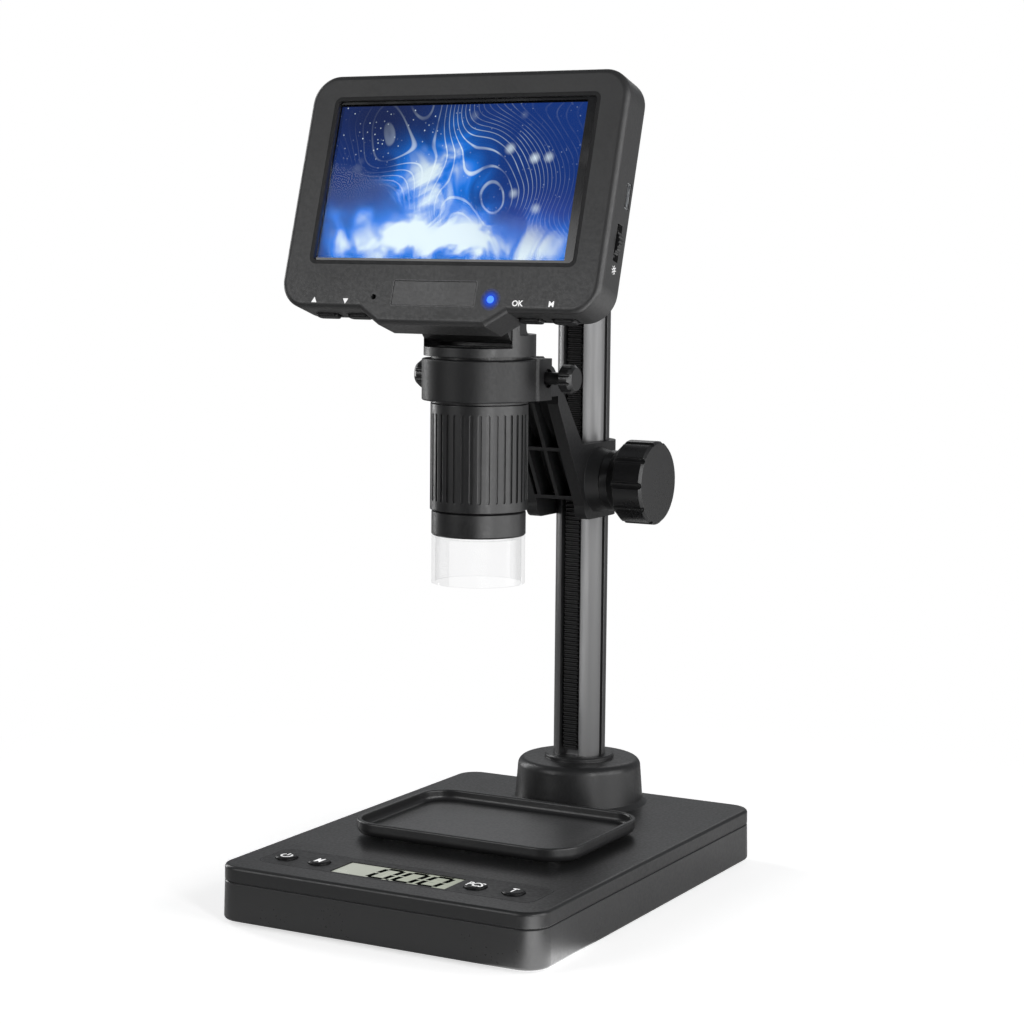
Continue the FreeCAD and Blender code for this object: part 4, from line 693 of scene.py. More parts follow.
        base = graph.mix(graph.ramp(bright, *PICTURE.blue_span), opaque(PICTURE.deep_blue),
                         opaque(PICTURE.clear_blue))
        base = graph.mix(graph.ramp(bright, *PICTURE.white_span), base, opaque(PICTURE.bloom_white))
        base = graph.mix(glow(PICTURE.violet), base, opaque(PICTURE.violet_tone))
        base = graph.mix(glow(PICTURE.night), base, opaque(PICTURE.night_tone))
        light = graph.total(graph.product(threads, PICTURE.thread_light),
                            graph.product(stars, PICTURE.star_light),
                            graph.product(motes, PICTURE.mote_light), clamp=True)
        graph.feed(out["Colour"], graph.mix(light, base, opaque(PICTURE.thread_tone)))
        return graph.tree


@dataclass(frozen=True)
class Plastic:
    """Moulded or painted plastic with a fine grain, worn edges, a little dust, and at times a painted sheen
    or glow.
    """

    name: str
    colour: Colour
    roughness: float = 0.5
    grain: float = 2600.0
    depth: float = 0.025
    speckle: float = 0.04
    wear: float = 0.12
    specular: float = 0.5
    metallic: float = 0.0
    coat: float = 0.0
    stretch: float = 1.0
    # Painted glow: emission in the part's own colour, for parts that are no lamp.
    glow: float = 0.0
    # Painted sheen: a rectangle in metres (centre x, centre y, half sizes) where the colour is made lighter,
    # and how much lighter.
    painted_sheen: Optional[tuple[float, float, float, float]] = None
    painted_sheen_gain: float = 1.0
    speckle_tone: Pair = (1.9, 0.004)
    worn_tone: Pair = (3.0, 0.008)
    dust: float = 0.03
    smear: float = 0.06
    coat_roughness: float = 0.12

    def shade(self, graph: Graph, effects: Effects, point: Socket) -> Socket:
        """Builds the surface shader.

        Args:
            graph: The material's graph.
            effects: The shared effects.
            point: The object point that patterns follow.

        Returns:
            The shader's output.
        """
        where = point if self.stretch == 1.0 else graph.mapped(point, scale=(1.0, 1.0, self.stretch))
        grain = effects.use(graph, "moulded_grain", where, grain=self.grain, depth=self.depth)
        marks = effects.use(graph, "handling", point)
        edges = effects.use(graph, "soft_edges", None)
        colour = self._tone(graph, effects, point, grain.outputs["Speckle"])
        worn = graph.product(edges.outputs["Edge"], self.wear)
        colour = graph.mix(worn, colour, toned(self.colour, *self.worn_tone))
        colour = graph.mix(graph.product(marks.outputs["Dust"], self.dust), colour, opaque(DUST))
        smear = graph.product(marks.outputs["Smear"], self.smear)
        both = graph.vector("ADD", grain.outputs["Normal"], edges.outputs["Normal"]).outputs[0]
        inputs = {
            "Base Color": colour,
            "Roughness": graph.total(smear, self.roughness, grain.outputs["Roughness shift"], clamp=True),
            "Metallic": self.metallic,
            "Specular IOR Level": self.specular,
            "Coat Weight": self.coat,
            "Coat Roughness": self.coat_roughness,
            "Normal": graph.vector("NORMALIZE", both).outputs[0],
        }
        # Painted glow: the colour glows from itself, as if lit.
        if self.glow > 0.0:
            inputs |= {"Emission Color": colour, "Emission Strength": self.glow}
        return graph.shader("ShaderNodeBsdfPrincipled", inputs)

    def _tone(self, graph: Graph, effects: Effects, point: Socket, speckle: Socket) -> Socket:
        """Mixes the plain colour with its speckles, and with a painted sheen (a lighter patch) where there
        is one.

        Args:
            graph: The material's graph.
            effects: The shared effects.
            point: The object point that patterns follow.
            speckle: Where the speckles are.

        Returns:
            The colour.
        """
        lighter = toned(self.colour, *self.speckle_tone)
        colour = graph.mix(graph.product(speckle, self.speckle), opaque(self.colour), lighter)
        if self.painted_sheen is None:
            return colour
        # Painted sheen: lighter in the rectangle's middle, fading to the plain colour towards its sides.
        x, y, half_x, half_y = self.painted_sheen
        area = effects.use(graph, "soft_patch", point, centre_x=x, centre_y=y, half_x=half_x, half_y=half_y)
        return graph.mix(area.outputs["Mask"], colour, toned(self.colour, self.painted_sheen_gain))


@dataclass(frozen=True)
class Metal:
    """Turned or plated metal with fine tool lines."""

    name: str
    colour: Colour
    roughness: float = 0.3
    lines: float = 1400.0
    line_stretch: float = 0.05
    line_depth: float = 0.3
    line_tone: float = 0.7
    smear: float = 0.12

    def shade(self, graph: Graph, effects: Effects, point: Socket) -> Socket:
        """Builds the surface shader.

        Args:
            graph: The material's graph.
            effects: The shared effects.
            point: The object point that patterns follow.

        Returns:
            The shader's output.
        """
        along = graph.mapped(point, scale=(self.line_stretch, 1.0, 1.0))
        grain = effects.use(graph, "moulded_grain", along, grain=self.lines, depth=self.line_depth)
        marks = effects.use(graph, "handling", point)
        darker = toned(self.colour, self.line_tone)
        return graph.shader("ShaderNodeBsdfPrincipled", {
            "Base Color": graph.mix(grain.outputs["Speckle"], opaque(self.colour), darker),
            "Roughness": graph.total(graph.product(marks.outputs["Smear"], self.smear), self.roughness),
            "Metallic": 1.0,
            "Normal": grain.outputs["Normal"],
        })


@dataclass(frozen=True)
class Clear:
    """Clear plastic or glass, seen through with Fresnel reflections at its faces."""

    name: str
    tint: Colour = WHITE
    haze: float = 0.04
    edge: float = 0.35
    shine: float = 0.9
    border: bool = False
    milk: Colour = (0.75, 0.76, 0.78)
    rim_blend: float = 0.35
    rim_power: float = 3.0
    gloss_roughness: float = 0.04
    bending: float = 1.45
    smear_scale: float = 30.0
    border_roughness: Pair = (0.12, 0.2)

    def shade(self, graph: Graph, effects: Effects, point: Socket) -> Socket:
        """Builds the surface shader.

        Args:
            graph: The material's graph.
            effects: The shared effects.
            point: The object point that patterns follow.

        Returns:
            The shader's output.
        """
        smear = effects.use(graph, "handling", point, spread=self.smear_scale).outputs["Smear"]
        through = graph.shader("ShaderNodeBsdfTransparent", {"Color": opaque(self.tint)})
        milk = graph.shader("ShaderNodeBsdfDiffuse", {"Color": opaque(self.milk)})
        gloss = graph.shader("ShaderNodeBsdfGlossy", {"Roughness": self.gloss_roughness})
        facing = graph.fill(graph.node("ShaderNodeLayerWeight"), {"Blend": self.rim_blend})
        rim = graph.math("POWER", facing.outputs["Facing"], self.rim_power)
        milky = graph.product(smear, self.haze)
        cloud = graph.total(graph.product(rim, self.edge), self.haze, milky, clamp=True)
        fresnel = graph.fill(graph.node("ShaderNodeFresnel"), {"IOR": self.bending})
        mirror = graph.product(fresnel.outputs[0], self.shine)
        clear = graph.blend(mirror, graph.blend(cloud, through, milk), gloss)
        if not self.border:
            return clear
        place = effects.use(graph, "face_place", point)
        half_x, half_y = SCREEN_AREA.window_half
        mask = effects.use(graph, "box_mask", place.outputs["Face"], centre_x=SCREEN_AREA.centre_x,
                           half_x=half_x, half_y=half_y)
        ink = graph.shader("ShaderNodeBsdfPrincipled", {
            "Base Color": opaque(BLACK_INK),
            "Roughness": graph.ramp(smear, 0.0, 1.0, *self.border_roughness),
        })
        return graph.blend(mask.outputs["Mask"], ink, clear)


@dataclass(frozen=True)
class LitScreen:
    """The lit panel behind the window, black outside its picture."""

    name: str = "lit_screen"
    strength: float = 1.0
    roughness: float = 0.6

    def shade(self, graph: Graph, effects: Effects, point: Socket) -> Socket:
        """Builds the surface shader.

        Args:
            graph: The material's graph.
            effects: The shared effects.
            point: The object point that patterns follow.

        Returns:
            The shader's output.
        """
        place = effects.use(graph, "face_place", point).outputs["Face"]
        half_x, half_y = SCREEN_AREA.picture_half
        mask = effects.use(graph, "box_mask", place, centre_x=SCREEN_AREA.centre_x,
                           half_x=half_x, half_y=half_y)
        picture = effects.use(graph, "lit_picture", place)
        return graph.shader("ShaderNodeBsdfPrincipled", {
            "Base Color": opaque(BLACK_INK),
            "Roughness": self.roughness,
            "Specular IOR Level": 0.0,
            "Emission Color": picture.outputs["Colour"],
            "Emission Strength": graph.product(mask.outputs["Mask"], self.strength),
        })


@dataclass(frozen=True)
class Lamp:
    """A small lit part with an even glow and a darker rim."""

    name: str
    colour: Colour
    strength: float
    cloud_scale: float = 1500.0
    cloud_tone: float = 0.8
    rim_blend: float = 0.5
    full_face: float = 1.15

    def shade(self, graph: Graph, effects: Effects, point: Socket) -> Socket:
        """Builds the surface shader.

        Args:
            graph: The material's graph.
            effects: Not used.
            point: The object point that patterns follow.

        Returns:
            The shader's output.
        """
        facing = graph.fill(graph.node("ShaderNodeLayerWeight"), {"Blend": self.rim_blend}).outputs["Facing"]
        fall = graph.math("SUBTRACT", self.full_face, facing)
        cloud = graph.noise(point, self.cloud_scale, 1.0).outputs[0]
        return graph.shader("ShaderNodeBsdfPrincipled", {
            "Base Color": graph.mix(cloud, opaque(self.colour), toned(self.colour, self.cloud_tone)),
            "Emission Color": opaque(self.colour),
            "Emission Strength": graph.product(fall, self.strength),
        })


@dataclass(frozen=True)
class Halo:
    """The faint glow that a lamp throws on the face round it."""

    name: str
    colour: Colour
    at: Pair
    spread: float = 1.9
    strength: float = 0.9

    def shade(self, graph: Graph, effects: Effects, point: Socket) -> Socket:
        """Builds the surface shader.

        Args:
            graph: The material's graph.
            effects: The shared effects.
            point: The object point that patterns follow.

        Returns:
            The shader's output.
        """
        place = effects.use(graph, "face_place", point).outputs
        fall = graph.bell(place["Across"], place["Up"], self.at, (self.spread, self.spread))
        clear = graph.shader("ShaderNodeBsdfTransparent", {})
        light = graph.shader("ShaderNodeEmission", {"Color": opaque(self.colour), "Strength": self.strength})
        return graph.blend(fall, clear, light)


@dataclass(frozen=True)
class Readout:
    """Grey green liquid crystal glass with a slow change of tone across it and a painted glow."""

    name: str = "readout_glass"
    left: Colour = (0.60, 0.62, 0.54)
    right: Colour = (0.46, 0.49, 0.39)
    glow: float = 0.30
    change_span: Pair = (-0.026, 0.012)
    cloud_scale: float = 60.0
    cloud: float = 0.12
    smear_scale: float = 50.0
    roughness: Pair = (0.2, 0.35)

    def shade(self, graph: Graph, effects: Effects, point: Socket) -> Socket:
        """Builds the surface shader.

        Args:
            graph: The material's graph.
            effects: The shared effects.
            point: The object point that patterns follow.

        Returns:
            The shader's output.
        """
        across = graph.ramp(graph.axes(point)[0], *self.change_span)
        cloud = graph.noise(point, self.cloud_scale, 3.0).outputs[0]
        side = graph.total(across, graph.product(cloud, self.cloud), clamp=True)
        smear = effects.use(graph, "handling", point, spread=self.smear_scale).outputs["Smear"]
        tone = graph.mix(side, opaque(self.left), opaque(self.right))
        return graph.shader("ShaderNodeBsdfPrincipled", {
            "Base Color": tone,
            # Painted glow: the glass emits its own tone, as if lit.
            "Emission Color": tone,
            "Emission Strength": self.glow,
            "Roughness": graph.ramp(smear, 0.0, 1.0, *self.roughness),
        })


AnyFinish = Union[Plastic, Metal, Clear, LitScreen, Lamp, Halo, Readout]

SHELL = Plastic("shell_black", (0.018, 0.018, 0.0185), 0.32, wear=0.05)
COVER = Plastic("cover_black", (0.015, 0.015, 0.0155), 0.33, specular=0.4, wear=0.05)
PANEL = Plastic("panel_film", (0.006, 0.006, 0.0065), 0.36, grain=1800.0, specular=0.3)
# The tray's floor gets a painted sheen: lighter in its middle, with painted shade towards its walls.
TRAY = Plastic(
    "tray_black", (0.015, 0.015, 0.0155), 0.34, painted_sheen=(0.0, -0.002, 0.040, 0.0275), painted_sheen_gain=4.0
)
COLUMN = Plastic(
    "column_anodised", (0.105, 0.105, 0.106), 0.32, grain=1500.0, depth=0.08, metallic=0.8, stretch=0.04
)
RACK = Plastic("rack_nylon", (0.006, 0.006, 0.006), 0.5, speckle=0.1)
ARM = Plastic("arm_black", (0.009, 0.009, 0.0095), 0.44, specular=0.35)
KNOB = Plastic("knob_black", (0.010, 0.010, 0.0105), 0.30, wear=0.2)
TUBE = Plastic("tube_black", (0.008, 0.008, 0.0085), 0.36)
GRIP = Plastic("grip_black", (0.007, 0.007, 0.0075), 0.34, wear=0.15)
HEAD = Plastic("head_black", (0.026, 0.026, 0.0265), 0.42)
KEYS = Plastic("key_black", (0.006, 0.006, 0.0065), 0.42, specular=0.3, wear=0.03)
PLATE = Plastic("plate_grey", (0.075, 0.075, 0.076), 0.42)
RUBBER = Plastic("foot_rubber", (0.012, 0.012, 0.012), 0.85, grain=900.0, depth=0.5)
BOARD = Plastic("board_green", (0.01, 0.07, 0.035), 0.35, grain=500.0, depth=0.1, coat=0.4)
WRAP = Plastic("cell_sleeve", (0.05, 0.07, 0.10), 0.3, grain=300.0, depth=0.1)
# The white legends are print with a painted glow: they emit light though they are no lamp.
INK = Plastic("legend_white", (0.85, 0.85, 0.85), 0.5, wear=0.0, speckle=0.0, depth=0.05, glow=0.55)
LINE = Plastic("panel_line", (0.035, 0.035, 0.036), 0.4, wear=0.0, speckle=0.0, depth=0.05)
DIGIT = Plastic("digit_dark", (0.008, 0.009, 0.008), 0.85, specular=0.0, wear=0.0, speckle=0.0)
TRIM = Plastic("window_trim", (0.005, 0.005, 0.0055), 0.45, specular=0.3, wear=0.0)
PLATE_EDGE = Plastic("plate_edge", (0.09, 0.09, 0.092), 0.4, wear=0.0, speckle=0.0)
STEEL = Metal("plated_steel", (0.56, 0.57, 0.58), 0.28)
DARK_STEEL = Metal("black_oxide", (0.05, 0.05, 0.052), 0.35)
BARE = Metal("bare_aluminium", (0.78, 0.79, 0.80), 0.35)
SHIELD = Clear("shield_clear", (0.992, 0.992, 0.993), haze=0.012, edge=0.03, shine=0.12)
WINDOW = Clear("window_glass", (0.98, 0.985, 0.99), haze=0.0, edge=0.0, shine=0.25, border=True)
LENS = Clear("lens_coated", (0.75, 0.8, 0.95), haze=0.02, edge=0.1, shine=1.0)
SCREEN = LitScreen()
BLUE_LAMP = Lamp("indicator_blue", (0.04, 0.17, 1.0), 1.5)
LAMP_HALO = Halo("indicator_halo", (0.03, 0.12, 0.9), (21.8, -41.0))
READOUT = Readout()

# Every node that is not named here is one of the small black keys.
NODE_FINISH: dict[str, AnyFinish] = {
    "base_lower_shell": SHELL, "base_top_cover": COVER, "base_screws": DARK_STEEL, "rubber_feet": RUBBER,
    "control_panel": PANEL, "scale_readout": READOUT, "scale_board": BOARD, "load_cell": BARE,
    "load_cell_screws": STEEL, "platform_support": BARE, "weighing_tray": TRAY, "battery_door": SHELL,
    "scale_batteries": WRAP, "battery_contacts": STEEL, "column": COLUMN, "column_screw": DARK_STEEL,
    "column_cap": KNOB, "rack_strip": RACK, "carriage_arm": ARM, "friction_pad": RACK,
    "friction_screw": DARK_STEEL, "pinion_shaft": STEEL, "focus_knob": KNOB, "shaft_end_cap": KNOB,
    "thumbscrew_right": KNOB, "thumbscrew_left": KNOB, "barrel_tube": TUBE, "tilt_yoke": TUBE,
    "hinge_pins": STEEL, "focus_ring": GRIP, "nose_ring": TUBE, "lens_shield": SHIELD, "lens_cell": RACK,
    "objective_lens": LENS, "lamp_ring": BOARD, "sensor_board": BOARD, "front_bezel": HEAD,
    "rear_cover": HEAD, "screen_window": WINDOW, "lcd_panel": SCREEN, "main_board": BOARD,
    "head_battery": WRAP, "name_plate": PLATE, "indicator_light": BLUE_LAMP, "brightness_wheel": KNOB,
    "power_socket": STEEL, "card_slot": STEEL, "head_screws": DARK_STEEL,
}


@dataclass
class Dresser:
    """Builds materials from finishes and puts them on objects."""

    effects: Effects
    made: dict[str, bpy.types.Material] = field(default_factory=dict)

    def material(self, finish: AnyFinish) -> bpy.types.Material:
        """Gives the material of a finish, built at its first use.

        Args:
            finish: The finish.

        Returns:
            Its material.
        """
        if finish.name not in self.made:
            material = bpy.data.materials.new(finish.name)
            material.use_nodes = True
            material.node_tree.nodes.clear()
            graph = Graph(material.node_tree)
            point = graph.node("ShaderNodeTexCoord").outputs["Object"]
            end = graph.node("ShaderNodeOutputMaterial")
            graph.feed(end.inputs["Surface"], finish.shade(graph, self.effects, point))
            self.made[finish.name] = material
        return self.made[finish.name]

    def dress(self, item: bpy.types.Object, finish: AnyFinish) -> None:
        """Puts one finish on every material slot of an object.

        Args:
            item: The object.
            finish: Its finish.
        """
        material = self.material(finish)
        if not item.material_slots:
            item.data.materials.append(material)
        for place in item.material_slots:
            place.link = "OBJECT"
            place.material = material


@dataclass
class Detailer:
    """Makes thin raised details on the object's surfaces."""

    dresser: Dresser
    letter_weight: float = 0.022
    letter_steps: int = 3
    count: int = 0

    def place(self, face: Face, x: float, y: float, height: float) -> Matrix:
        """Gives the matrix that lays a flat detail on a surface.

        Args:
            face: Which surface.
            x: First place on it, in millimetres.
            y: Second place on it, in millimetres.
            height: How far along the surface's own depth axis it starts.

        Returns:
            A matrix whose local Z leaves the surface.
        """
        if face is Face.BASE_TOP:
            return Matrix.Translation(Vector((x, y, height)) * MM)
        upright = Matrix.Rotation(math.radians(90), 4, "X")
        if face is Face.SCREEN_FRONT:
            return HEAD_POSE.matrix() @ Matrix.Translation(Vector((x, height, y)) * MM) @ upright
        stand = Matrix.Rotation(math.radians(90), 4, "Z") @ upright
        return HEAD_POSE.matrix() @ Matrix.Translation(Vector((height, x, y)) * MM) @ stand

    def add(self, name: str, mesh: bpy.types.Mesh, matrix: Matrix, body: Body, slot: Slot,
            finish: AnyFinish) -> bpy.types.Object:
        """Adds a finished mesh as a piece that rides on a body.

        Args:
            name: The piece's name.
            mesh: Its mesh, flat about the origin.
            matrix: Where it goes.
            body: The body that it rides on.
            slot: Not used.
            finish: Its finish.

        Returns:
            The new object.
        """
        mesh.transform(matrix)
        item = bpy.data.objects.new(name, mesh)
        bpy.context.scene.collection.objects.link(item)
        self.dresser.dress(item, finish)
        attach(item, body.value)
        self.count += 1
        LOG.info("added %s on %s", name, body.value)
        return item

    @staticmethod
    def _finished(name: str, shape: bmesh.types.BMesh) -> bpy.types.Mesh:
        """Turns a built shape into a mesh with its faces outward.

        Args:
            name: The mesh's name.
            shape: The shape, which is freed.

        Returns:
            The mesh.
        """
        bmesh.ops.recalc_face_normals(shape, faces=shape.faces)
        mesh = bpy.data.meshes.new(name)
        shape.to_mesh(mesh)
        shape.free()
        return mesh

    def outline_mesh(self, name: str, loops: Iterable[Outline], thick: float) -> bpy.types.Mesh:
        """Builds thin prisms from closed outlines.

        Args:
            name: The mesh's name.
            loops: The outlines, in millimetres.
            thick: How far they are raised.

        Returns:
            The mesh.
        """
        shape = bmesh.new()
        for loop in loops:
            low = [shape.verts.new((x * MM, y * MM, 0.0)) for x, y in loop]
            face = shape.faces.new(low)
            if face.normal.z < 0:
                face.normal_flip()
            raised = bmesh.ops.extrude_face_region(shape, geom=[face])
            up = [item for item in raised["geom"] if isinstance(item, bmesh.types.BMVert)]
            bmesh.ops.translate(shape, verts=up, vec=(0.0, 0.0, thick * MM))
        return self._finished(name, shape)

    def ring_mesh(self, name: str, outer: Outline, inner: Outline, thick: float) -> bpy.types.Mesh:
        """Builds a thin closed band between two outlines with as many points each.

        Args:
            name: The mesh's name.
            outer: The outer outline, in millimetres.
            inner: The inner outline.
            thick: How far the band is raised.

        Returns:
            The mesh.
        """
        shape = bmesh.new()
        rows = []
        for loop in (outer, inner):
            for z in (0.0, thick):
                rows.append([shape.verts.new((x * MM, y * MM, z * MM)) for x, y in loop])
        order = (rows[0], rows[1], rows[3], rows[2], rows[0])
        size = len(outer)
        for first, second in zip(order[:-1], order[1:]):
            for index in range(size):
                after = (index + 1) % size
                shape.faces.new((first[index], first[after], second[after], second[index]))
        return self._finished(name, shape)

    def word_mesh(self, name: str, words: str, size: float, thick: float,
                  tall: float = 1.0) -> bpy.types.Mesh:
        """Builds thin raised letters, centred on the origin.

        Args:
            name: The mesh's name.
            words: The letters.
            size: Their size, in millimetres.
            thick: How far they are raised.
            tall: How much taller than wide they are drawn.

        Returns:
            The mesh.
        """
        curve = bpy.data.curves.new(name + "_curve", "FONT")
        curve.body = words
        curve.size = size * MM
        curve.extrude = thick * MM / 2
        curve.offset = size * MM * self.letter_weight
        curve.align_x = "CENTER"
        curve.align_y = "CENTER"
        curve.resolution_u = self.letter_steps
        holder = bpy.data.objects.new(name + "_curve", curve)
        bpy.context.scene.collection.objects.link(holder)
        bpy.context.view_layer.update()
        mesh = bpy.data.meshes.new_from_object(holder.evaluated_get(bpy.context.evaluated_depsgraph_get()))
        bpy.data.objects.remove(holder)
        bpy.data.curves.remove(curve)
        mesh.name = name
        mesh.materials.clear()
        mesh.transform(Matrix.Diagonal((1.0, tall, 1.0, 1.0)))
        return mesh


def arc(radius: float, start: float, end: float, steps: int, centre: Pair = (0.0, 0.0)) -> Outline:
    """Gives points on an arc, both ends included.

    Args:
        radius: The arc's radius.
        start: The angle of its first end, in degrees.
        end: The angle of its last end.
        steps: How many steps it has.
        centre: Its centre.

    Returns:
        The points.
    """
    angles = [math.radians(start + (end - start) * index / steps) for index in range(steps + 1)]
    return [(centre[0] + radius * math.cos(angle), centre[1] + radius * math.sin(angle)) for angle in angles]


def circle(radius: float, count: int) -> Outline:
    """Gives evenly spaced points on a circle about the origin."""
    return arc(radius, 0.0, 360.0 - 360.0 / count, count - 1)


def rounded(width: float, depth: float, radius: float, steps: int = 6) -> Outline:
    """Gives the points of a rounded rectangle about the origin.

    Args:
        width: Its size across.
        depth: Its size up.
        radius: The radius of its corners.
        steps: How many steps a corner has.

    Returns:
        The points.
    """
    points: Outline = []
    for side_x, side_y, start in ((1, 1, 0), (-1, 1, 90), (-1, -1, 180), (1, -1, 270)):
        centre = (side_x * (width / 2 - radius), side_y * (depth / 2 - radius))
        points += arc(radius, start, start + 90, steps, centre)
    return points


def bar(start: Pair, end: Pair, width: float) -> Outline:
    """Gives the corners of a straight bar.

    Args:
        start: The middle of its first end.
        end: The middle of its last end.
        width: Its width.

    Returns:
        The four corners.
    """
    first, last = Vector(start), Vector(end)
    along = (last - first).normalized()
    side = Vector((-along.y, along.x)) * width / 2
    return [tuple(corner) for corner in (first + side, last + side, last - side, first - side)]


@dataclass(frozen=True)
class KeyWord:
    """A word on one of the scale's keys, with its key and its place across."""

    words: str
    body: Body
    x: float


@dataclass
class BaseUnit:
    """The scale base: its panel line, key legends and readout digits."""

    top: float = 19.9
    panel_y: float = -65.4
    panel_size: Pair = (105.5, 19.1)
    panel_radius: float = 4.0
    line_width: float = 0.28
    line_thick: float = 0.02
    key_y: float = -66.4
    key_top: float = 20.7
    legend_thick: float = 0.03
    letter_size: float = 3.7
    letter_tall: float = 1.6
    words: tuple[KeyWord, ...] = (
        KeyWord("M", Body.KEY_MODE, -32.8),
        KeyWord("PCS", Body.KEY_COUNT, 28.0),
        KeyWord("T", Body.KEY_TARE, 42.2),
    )
    sign_x: float = -46.1
    sign_radius: float = 2.2
    sign_inner: float = 0.72
    sign_opening: Pair = (125.0, 415.0)
    sign_steps: int = 22
    sign_bar: Pair = (0.15, 1.15)
    sign_bar_width: float = 0.28
    readout_centre: Pair = (-1.6, -66.8)
    readout_top: float = 19.6
    digit_height: float = 11.6
    digit_width: float = 6.4
    digit_gap: float = 9.6
    digit_lean: float = 0.12
    digit_count: int = 3
    digit_thick: float = 0.02
    first_digit_x: float = -4.6
    segment: float = 1.9
    segment_gap: float = 0.45
    point_size: Pair = (1.1, 1.0)
    point_radius: float = 0.2
    point_back: float = 0.6

    def build(self, detail: Detailer) -> None:
        """Adds every detail of the base.

        Args:
            detail: What makes the details.
        """
        self._panel_line(detail)
        self._power_sign(detail)
        for word in self.words:
            name = "legend_" + word.words.lower()
            mesh = detail.word_mesh(name, word.words, self.letter_size, self.legend_thick, self.letter_tall)
            self._on_key(detail, name, mesh, word.x, word.body)
        self._digits(detail)

    def _on_key(self, detail: Detailer, name: str, mesh: bpy.types.Mesh, x: float, body: Body) -> None:
        """Lays a white mark on a key."""
        matrix = detail.place(Face.BASE_TOP, x, self.key_y, self.key_top)
        detail.add(name, mesh, matrix, body, Slot.BUTTON, INK)

    def _panel_line(self, detail: Detailer) -> None:
        """Adds the fine line round the control panel.

        Args:
            detail: What makes the details.
        """
        width, depth = self.panel_size
        outer = rounded(width, depth, self.panel_radius)
        inner = rounded(width - 2 * self.line_width, depth - 2 * self.line_width,
                        self.panel_radius - self.line_width)
        mesh = detail.ring_mesh("panel_line", outer, inner, self.line_thick)
        matrix = detail.place(Face.BASE_TOP, 0.0, self.panel_y, self.top)
        detail.add("panel_line", mesh, matrix, Body.BASE, Slot.PANEL, LINE)

    def _power_sign(self, detail: Detailer) -> None:
        """Adds the usual on and standby sign: a broken ring with a bar.

        Args:
            detail: What makes the details.
        """
        radius = self.sign_radius
        start, end = self.sign_opening
        ring = arc(radius, start, end, self.sign_steps)
        ring += arc(radius * self.sign_inner, end, start, self.sign_steps)
        low, high = (radius * share for share in self.sign_bar)
        loops = [ring, bar((0.0, low), (0.0, high), radius * self.sign_bar_width)]
        mesh = detail.outline_mesh("legend_power", loops, self.legend_thick)
        self._on_key(detail, "legend_power", mesh, self.sign_x, Body.KEY_POWER)

    def _zero(self, x: float) -> list[Outline]:
        """Gives the six lit parts of a leaning nought.

        Args:
            x: Where its middle is.

        Returns:
            One outline for each part.
        """
        high, wide, gap = self.digit_height / 2, self.digit_width / 2, self.segment_gap
        parts = (
            ((-wide + gap, high), (wide - gap, high)),
            ((wide, high - gap), (wide, gap)),
            ((wide, -gap), (wide, -high + gap)),
            ((-wide + gap, -high), (wide - gap, -high)),
            ((-wide, -gap), (-wide, -high + gap)),
            ((-wide, high - gap), (-wide, gap)),
        )
        bars = [bar(start, end, self.segment) for start, end in parts]
        return [[(x + across + up * self.digit_lean, up) for across, up in corners] for corners in bars]

    def _digits(self, detail: Detailer) -> None:
        """Adds the reading of zero with two places.

        Args:
            detail: What makes the details.
        """
        loops: list[Outline] = []
        for index in range(self.digit_count):
            loops += self._zero(self.first_digit_x + index * self.digit_gap)
        point_x = self.first_digit_x + self.digit_gap / 2 - self.point_back
        point = rounded(*self.point_size, self.point_radius, 2)
        loops.append([(point_x + across, -self.digit_height / 2 + up) for across, up in point])
        mesh = detail.outline_mesh("readout_digits", loops, self.digit_thick)
        matrix = detail.place(Face.BASE_TOP, *self.readout_centre, self.readout_top)
        detail.add("readout_digits", mesh, matrix, Body.BASE, Slot.READOUT, DIGIT)


